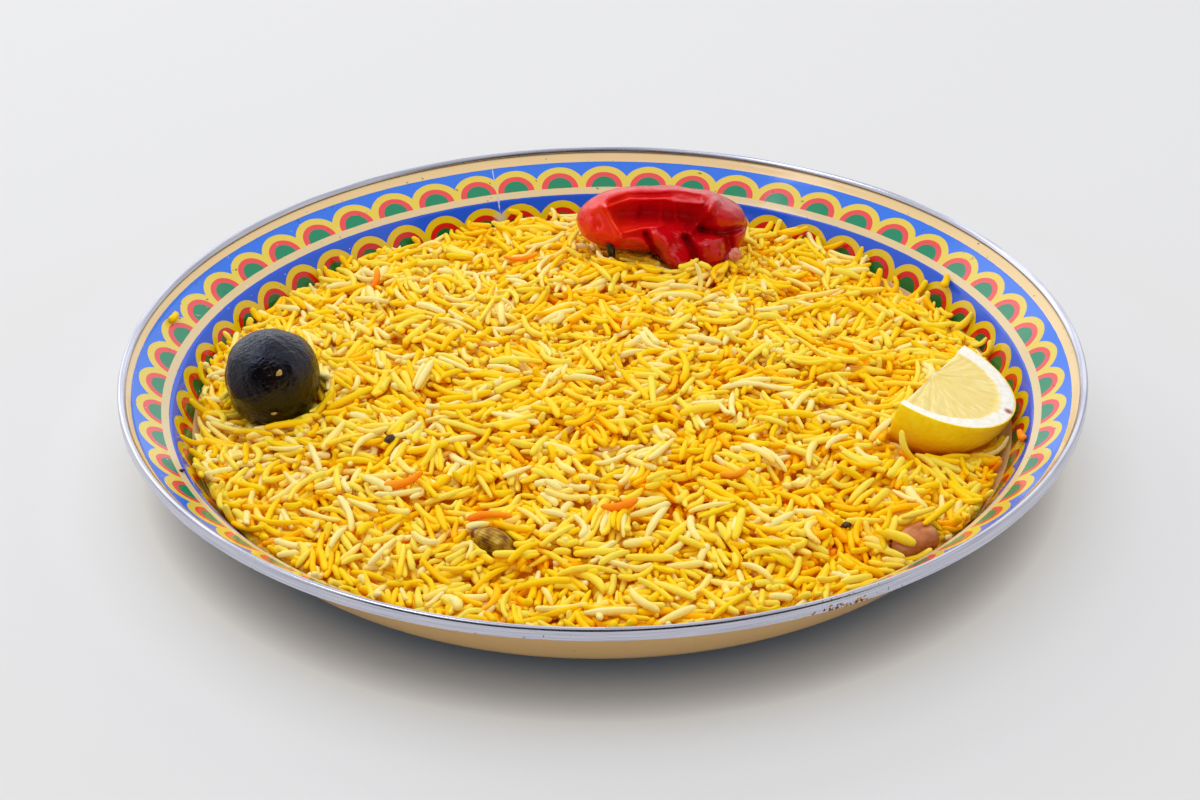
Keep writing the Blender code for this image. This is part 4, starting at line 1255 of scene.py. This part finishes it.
# %% How grains lie: paths, headings and tilts
def grain_path(x, y, heading, reach, bend, share):
    """Places along a bent grain seen from above: straight along its heading, with a parabola aside."""
    forward = share * reach
    sideways = bend * (share ** 2 - THIRD)
    return (x + forward * np.cos(heading) - sideways * np.sin(heading),
            y + forward * np.sin(heading) + sideways * np.cos(heading))


def lie_loose(x, y):
    """Heading and tilt of loose grains: over half follow the stream; a few stand nearly upright."""
    flow = np.pi * waves(np.stack([x, y], -1), FLOW_SIZE, 71) + draw.normal(0, 0.4, len(x))
    follows = draw.uniform(0, 1, len(x)) < FLOW_SHARE
    heading = np.where(follows, flow, draw.uniform(0, 2 * np.pi, len(x)))
    tilt = draw.normal(0, 1.0, len(x)) * draw.choice(TILTS, len(x), p=TILT_SHARES)
    return heading, tilt.clip(-1.35, 1.35)


def lie_up_the_wall(x, y):
    """Heading and tilt of grains that lean outwards, up the plate's wall."""
    return np.arctan2(y, x) + draw.normal(0, 0.55, len(x)), draw.normal(0.75, 0.2, len(x))

# %% Letting each grain down
def let_down(x, y, heading, tilt, length, bend):
    """Rest each grain on the map; returns its height, arch, path cells and middle line there.

    A soft grain sags or humps over what it lies on: of three arches the lowest-lying is kept.
    """
    reach = length / 2 * np.cos(tilt)
    path = grain_path(x[:, None], y[:, None], heading[:, None], reach[:, None], bend[:, None], SAMPLES)
    cells = map_cells(*path)
    rise = np.sin(tilt)[:, None] * length[:, None] / 2 * SAMPLES
    curves = rise + ARCHES_TRIED * (THIRD - SAMPLES ** 2)
    centres = (ground[cells] - curves).max(-1)
    choice = np.argmin(centres, axis=0)
    centre = np.take_along_axis(centres, choice[None], 0)[0]
    line = centre[:, None] + np.take_along_axis(curves, choice[None, :, None], 0)[0]
    return centre, ARCHES_TRIED[choice, 0, 0], cells, line


def raise_map(x, y, centre, heading, tilt, length, bend, arch):
    """Raise the map along one grain that has been laid."""
    share = np.linspace(-1, 1, int(length / CELL))
    rows_at, columns_at = map_cells(*grain_path(x, y, heading, length / 2 * math.cos(tilt), bend, share))
    heights = centre + math.sin(tilt) * share * length / 2 + arch * (THIRD - share ** 2)
    rows_at = (rows_at[:, None] + stamp_rows).clip(0, len(map_axis) - 1)
    columns_at = (columns_at[:, None] + stamp_columns).clip(0, len(map_axis) - 1)
    np.maximum.at(ground, (rows_at, columns_at), heights[:, None] + stamp_rise)

# %% Laying many grains
def lay_grains(allowed, wished, lie, over_limit, patience, most):
    """Lay grains on the allowed cells until enough tries failed; returns them as rows of numbers.

    Wished is the height that their upper sides should reach, and over_limit the mean and spread
    of how far above it they may end.
    """
    open_rows, open_columns = np.nonzero(allowed)
    laid, failures = [], 0
    while len(laid) < most and failures < patience:
        spots = draw.integers(0, len(open_rows), LOOKS)
        rows_at, columns_at = open_rows[spots], open_columns[spots]
        hollow = wished[rows_at, columns_at] - ground[rows_at, columns_at]
        deepest = np.repeat(np.argsort(-hollow)[:SPOTS], TURNS)
        x = map_axis[rows_at[deepest]] + draw.uniform(-1.5, 1.5, TRIES)
        y = map_axis[columns_at[deepest]] + draw.uniform(-1.5, 1.5, TRIES)
        heading, tilt = lie(x, y)
        whole = draw.normal(LENGTH_MEAN, LENGTH_SPREAD, TRIES).clip(*LENGTH_LIMITS)
        length = whole * draw.choice([1.0, BROKEN_LENGTH], TRIES, p=[1 - BROKEN_SHARE, BROKEN_SHARE])
        bend = draw.normal(0, 1.0, TRIES) * draw.choice(BENDS, TRIES, p=BEND_SHARES)
        centre, arch, cells, line = let_down(x, y, heading, tilt, length, bend)
        here = map_cells(x, y)
        over = centre + 0.30 * np.abs(np.sin(tilt)) * length / 2 + GRAIN_RADIUS - wished[here]
        blocked = (line + GRAIN_RADIUS > ceiling[cells]).any(1) | ~allowed[here]
        over = np.where(blocked, NOT_ALLOWED, over)
        best = int(np.argmin(over))
        if over[best] > draw.normal(*over_limit):
            failures += 1
            continue
        grain = [v[best] for v in (x, y, centre, heading, tilt, length, bend, arch)]
        laid.append((*grain, over[best], ANY_KIND))
        raise_map(*grain)
    return laid


grains = lay_grains(map_out < 1.0, map_top, lie_loose, (0.2, 0.6), 1500, 9000)
print("grains in the heap:", len(grains), "highest", max(grain[2] for grain in grains))

# %% Grains on the wall and round the toppings
# A last layer covers the wall up to the heap's edge, and some lean out over that edge.
wall_wish = np.maximum(map_top, floor_map + GRAIN_RADIUS)
on_wall = (map_out > 0.90) & (map_out < 1.008)
grains += lay_grains(on_wall, wall_wish, lie_loose, (0.4, 0.5), 500, 900)
at_edge = (map_out > 0.955) & (map_out < 0.995)
grains += lay_grains(at_edge, wall_wish, lie_up_the_wall, (2.6, 0.6), 60, 70)
print("with the wall's:", len(grains))
# Now the toppings' upper sides are ground, so grains may lie against and on their flanks.
close_by = (spread(upside, 5, np.maximum) > -NOWHERE) & (map_out < 1.0)
ground = np.maximum(ground, upside + 0.6 * GRAIN_RADIUS)
ceiling = np.full(ground.shape, NOWHERE)
grains += lay_grains(close_by, map_top + 1.0, lie_loose, (0.4, 0.6), 500, 500)
print("with those at the toppings:", len(grains))

# %% Stray grains, each laid where it was dropped
CREAM, PALE, YELLOW, GOLD, ORANGE = range(5)
STRAYS = (                      # x, y, height or None, heading and tilt in degrees, length, bend, kind
    (32.6, 58.8, None, 100.0, 66.0, 11.5, 1.6, CREAM), (91.0, -40.2, 20.4, 160.0, 62.0, 12.0, -1.4, PALE),
    (-55.4, -0.9, None, 72.0, 8.0, 15.0, 0.4, CREAM), (-57.2, -0.4, None, 75.0, 6.0, 12.0, 0.2, CREAM),
    (82.5, -89.0, None, 160.0, 10.0, 12.0, 1.0, PALE), (95.5, -79.0, None, 40.0, 12.0, 13.0, -1.0, YELLOW),
    (90.5, -78.0, None, 20.0, 5.0, 11.0, 1.5, PALE), (80.5, -84.0, None, 70.0, 20.0, 9.0, 0.5, YELLOW),
    (126.2, -34.1, None, 100.0, 0.0, 4.5, 0.2, ORANGE), (109.7, 57.4, None, 120.0, 20.0, 7.0, 0.5, GOLD),
    (115.2, 62.7, None, 70.0, 10.0, 6.0, 0.3, GOLD), (-138.1, 31.4, None, 75.0, 0.0, 5.0, 0.4, YELLOW),
    (-27.4, 83.5, None, 5.0, 4.0, 12.0, 0.8, ORANGE), (-76.6, 74.0, None, 80.0, 20.0, 9.0, 0.6, ORANGE),
    (38.5, -59.1, None, 15.0, 6.0, 9.0, 0.6, ORANGE), (-32.7, -78.0, None, -4.0, 6.0, 13.0, -0.6, ORANGE),
    (-58.1, -61.1, None, 20.0, 8.0, 12.0, 0.8, ORANGE), (4.6, -76.5, None, 10.0, 6.0, 11.0, 0.6, ORANGE),
    (-69.5, -33.0, None, -20.0, 12.0, 11.0, 0.6, CREAM), (-59.0, -31.5, None, 30.0, 12.0, 10.0, 0.6, CREAM),
)
for x, y, z, heading, tilt, length, bend, kind in STRAYS:
    one_grain = [np.array([v]) for v in (x, y, math.radians(heading), math.radians(tilt), length, bend)]
    centre, arch, _, _ = let_down(*one_grain)
    height = centre[0] if z is None else z
    grain = (x, y, height, one_grain[2][0], one_grain[3][0], length, bend, arch[0])
    grains.append((*grain, 0.0, kind))
    raise_map(*grain)

# %% [markdown]
# ## Grain meshes
# A cooked basmati grain is a slim rod, five or six times as long as thick, with blunt or tapered
# ends, a slight flat on two sides and often a bend. With thousands of them, each one has seven
# rings of seven points, and the grains of one kind are one mesh, or two where they are many.

# %% Grain template
RING_SHARES = np.array([-0.97, -0.87, -0.46, 0.0, 0.46, 0.87, 0.97])
RING_SIDES = 7
FLATNESS = 0.84


def grain_points(x, y, z, heading, tilt, length, thick, bend, arch, roll, taper, blunt, swell):
    """Rings round a bent path for every grain at once, then its two end points.

    The middle line is place + ahead * share * half length + side * bend * (share^2 - 1/3)
    + up * arch * (1/3 - share^2). A ring's size is thick * (1 - |share|^blunt)^0.5, smaller
    towards one end by the taper, and each ring has its own swell, as cooked grains have.
    """
    share = np.concatenate([RING_SHARES, [-1.0, 1.0]])[None, :, None]
    column = (slice(None), None)
    ahead = np.stack([np.cos(heading) * np.cos(tilt), np.sin(heading) * np.cos(tilt), np.sin(tilt)],
                     -1)[column]
    side = np.stack([-np.sin(heading), np.cos(heading), 0 * heading], -1)[column]
    up = np.cross(ahead, side)
    half, bend, arch = [value[:, None, None] for value in (length / 2, bend, arch)]
    place = np.stack([x, y, z], -1)[column]
    curve = share ** 2 - THIRD
    middle = place + ahead * share * half + side * bend * curve - up * arch * curve
    tangent = ahead * half + side * 2 * bend * share - up * 2 * arch * share
    tangent /= np.linalg.norm(tangent, axis=-1, keepdims=True)
    across = side - tangent * (side * tangent).sum(-1, keepdims=True)
    across /= np.linalg.norm(across, axis=-1, keepdims=True)
    above = np.cross(tangent, across)
    size = thick[:, None] * (1 - np.abs(RING_SHARES) ** blunt[:, None]) ** 0.5
    size *= (1 - taper[:, None] * RING_SHARES) * (1 + swell)
    spin = np.linspace(0, 2 * np.pi, RING_SIDES, endpoint=False)
    wide = (size[..., None] * np.cos(spin))[..., None]
    tall = (size[..., None] * np.sin(spin) * FLATNESS)[..., None]
    roll_cos, roll_sin = [f(roll)[:, None, None, None] for f in (np.cos, np.sin)]
    ring_across, ring_above = across[:, :-2, None], above[:, :-2, None]
    rings = (middle[:, :-2, None] + ring_across * (wide * roll_cos - tall * roll_sin)
             + ring_above * (wide * roll_sin + tall * roll_cos))
    return np.concatenate([rings.reshape(len(x), -1, 3), middle[:, -2:]], 1)


def grain_faces(count):
    """The capped faces of one grain, repeated for each grain with its points counted on."""
    per_grain = len(RING_SHARES) * RING_SIDES + 2
    offset = (np.arange(count) * per_grain)[:, None, None]
    groups = facing_out(template_points, capped_faces(len(RING_SHARES), RING_SIDES))
    return [(group[None] + offset).reshape(-1, group.shape[1]) for group in groups]

# %% One straight grain, to know which way its faces go
zero, one = np.zeros(1), np.ones(1)
no_swell = np.zeros((1, len(RING_SHARES)))
template_points = grain_points(zero, zero, zero, zero, zero, one * 14, one, zero, zero, zero, zero, one * 6,
                               no_swell)[0]

# %% Sorting the grains into kinds
grains = np.array(grains)
count = len(grains)
x, y, z, heading, tilt, length, bend, arch, over, given_kind = grains.T
thick = draw.normal(GRAIN_RADIUS, 0.12, count).clip(0.85, 1.5)
roll = draw.uniform(0, np.pi, count)
taper = draw.normal(0, 0.13, count).clip(-0.3, 0.3)
blunt = draw.uniform(3.5, 10.0, count)
swell = draw.normal(0, 0.06, (count, len(RING_SHARES)))
# Colour runs in patches: deeper at the right, paler at the back and at the left. Painted shade:
# grains lying deep in the heap and in the hollows between clumps are painted deeper, and
# those on clumps paler.
patch_and_hollow_shade = waves(np.stack([x, y], -1), 55.0, 61) * 0.08 + x / 1500 - y / 2500
patch_and_hollow_shade -= (over + 1.0).clip(-4, 0) * 0.06 + 0.08 * clumps(x, y)
order = np.argsort(np.argsort(draw.uniform(0, 1, count) + patch_and_hollow_shade)) / count
kinds = list(GRAIN_KINDS)
limits = np.cumsum([GRAIN_KINDS[kind][0] for kind in kinds])
kind_of = np.where(given_kind == ANY_KIND, np.searchsorted(limits[:-1], order), given_kind)
ends = draw.normal(0, 0.22, count)
grain_values = (x, y, z, heading, tilt, length, thick, bend, arch, roll, taper, blunt, swell)
print("grains of each kind:", dict(zip(kinds, np.bincount(kind_of.astype(int)).tolist())))

# %% Making the grains
LARGEST_PIECE = 2000                # grains in one mesh
# How much paler the upper side of a grain is painted, a painted highlight.
PAINTED_TOP_LIGHT = 0.24
for number, kind in enumerate(kinds):
    chosen = np.flatnonzero(kind_of == number)
    finish = rice_material(f"steamed_rice_{kind}", *GRAIN_KINDS[kind][1:])
    for part, some in enumerate(np.array_split(chosen, math.ceil(len(chosen) / LARGEST_PIECE))):
        points = grain_points(*(value[some] for value in grain_values))
        share = np.concatenate([np.repeat(RING_SHARES, RING_SIDES), [-1.0, 1.0]])
        dye = draw.uniform(0.15, 0.85, len(some))[:, None] + ends[some, None] * share
        # A painted highlight: the upper side of each grain is painted paler, as if lit from above.
        middle_height = points[..., 2].mean(1, keepdims=True)
        dye += PAINTED_TOP_LIGHT * (middle_height - points[..., 2]) / GRAIN_RADIUS
        piece = put_mesh(f"rice_{kind}_{part + 1}", points.reshape(-1, 3), grain_faces(len(some)),
                         {"dye": dye}, closed=False)
        dress(piece, finish, "rice", "rice_heap")

# %% [markdown]
# ## Crumbs and bits of spice
# A few small things lie about: a flake of husk, a bit of dark peel, a clove's head, a scrap of
# pepper flesh, crumbs of rice on the border and on the lime. Each is a small lumpy ball,
# squashed and turned, laid on the height map or set at a height. Those of one stuff are one mesh.

# %% Crumb sizes, places and tones
CRUMB_ROWS, CRUMB_COLUMNS = 22, 36
CRUMBS = {                      # stuff: each crumb's x, y, height or None to lie on top, sizes, turn
    "spice_husk": ((-64.2, -35.4, None, 5.0, 2.6, 2.6, 70.0), (69.5, -77.4, None, 3.6, 2.4, 1.8, 20.0),
                   (-124.2, -52.7, None, 1.8, 1.2, 0.9, 30.0), (12.0, -32.0, None, 1.5, 1.0, 0.9, 10.0),
                   (26.0, 22.0, None, 1.6, 1.0, 0.9, 60.0), (-40.0, 40.0, None, 1.4, 0.9, 0.9, 0.0),
                   (62.0, 8.0, None, 1.4, 1.0, 0.9, 90.0), (-8.0, 61.0, None, 1.6, 1.0, 0.9, 120.0)),
    "pepper_flesh": ((45.4, 76.6, 26.0, 4.6, 3.4, 4.4, 40.0),),
    "rice_crumb": ((27.4, 141.0, None, 2.2, 1.6, 1.2, 0.0), (-98.3, -17.6, 35.3, 2.1, 1.3, 3.3, 30.0),
                   (-100.8, -19.6, 22.8, 1.9, 0.8, 1.2, 10.0)),
}
CRUMB_TONES = {
    "spice_husk": ((0.35, "1d0d0c"), (0.55, "3a1e18"), (0.75, "6b4a30")),
    "pepper_flesh": ((0.35, "c8605a"), (0.55, "d88a80"), (0.75, "e8b4a8")),
    "rice_crumb": ((0.35, "a8883c"), (0.55, "c0a458"), (0.75, "dcc488")),
}

# %% Crumb meshes
way = ball_directions(CRUMB_ROWS, CRUMB_COLUMNS)
for stuff, rows in CRUMBS.items():
    parts, faces = [], []
    for number, (x, y, z, long, wide, tall, turn) in enumerate(rows):
        lumps = 1 + 0.16 * waves(way, 1.4, 80 + number) + 0.05 * waves(way, 0.5, 90 + number, 20)
        shape = way[:, [2, 0, 1]] * lumps[:, None] * np.array([long, wide, tall]) / 2
        low = ground[map_cells(np.array([x]), np.array([y]))][0] - GRAIN_RADIUS
        middle = np.array([x, y, low + 0.42 * tall if z is None else z])
        faces += [group + len(way) * number for group in capped_faces(CRUMB_ROWS, CRUMB_COLUMNS)]
        parts.append(shape @ turn_matrix(0, 0, turn).T + middle)
    piece = put_mesh(f"{stuff}_bits", np.concatenate(parts), faces)
    finish, tree, shader = start_material(stuff, Roughness=0.45, Subsurface_Weight=0.2,
                                          Subsurface_Radius=(0.002, 0.001, 0.001), Subsurface_Scale=1.0)
    place = add_node(tree, "TexCoord").outputs["Object"]
    tone = add_node(tree, "TexNoise", None, {"Vector": place, "Scale": 700.0, "Detail": 3.0})
    tone = add_node(tree, "ValToRGB", {"stops": CRUMB_TONES[stuff]}, {0: tone})
    fill_inputs(tree, shader, {"Base Color": tone})
    dress(piece, finish, "rice", "rice_heap")
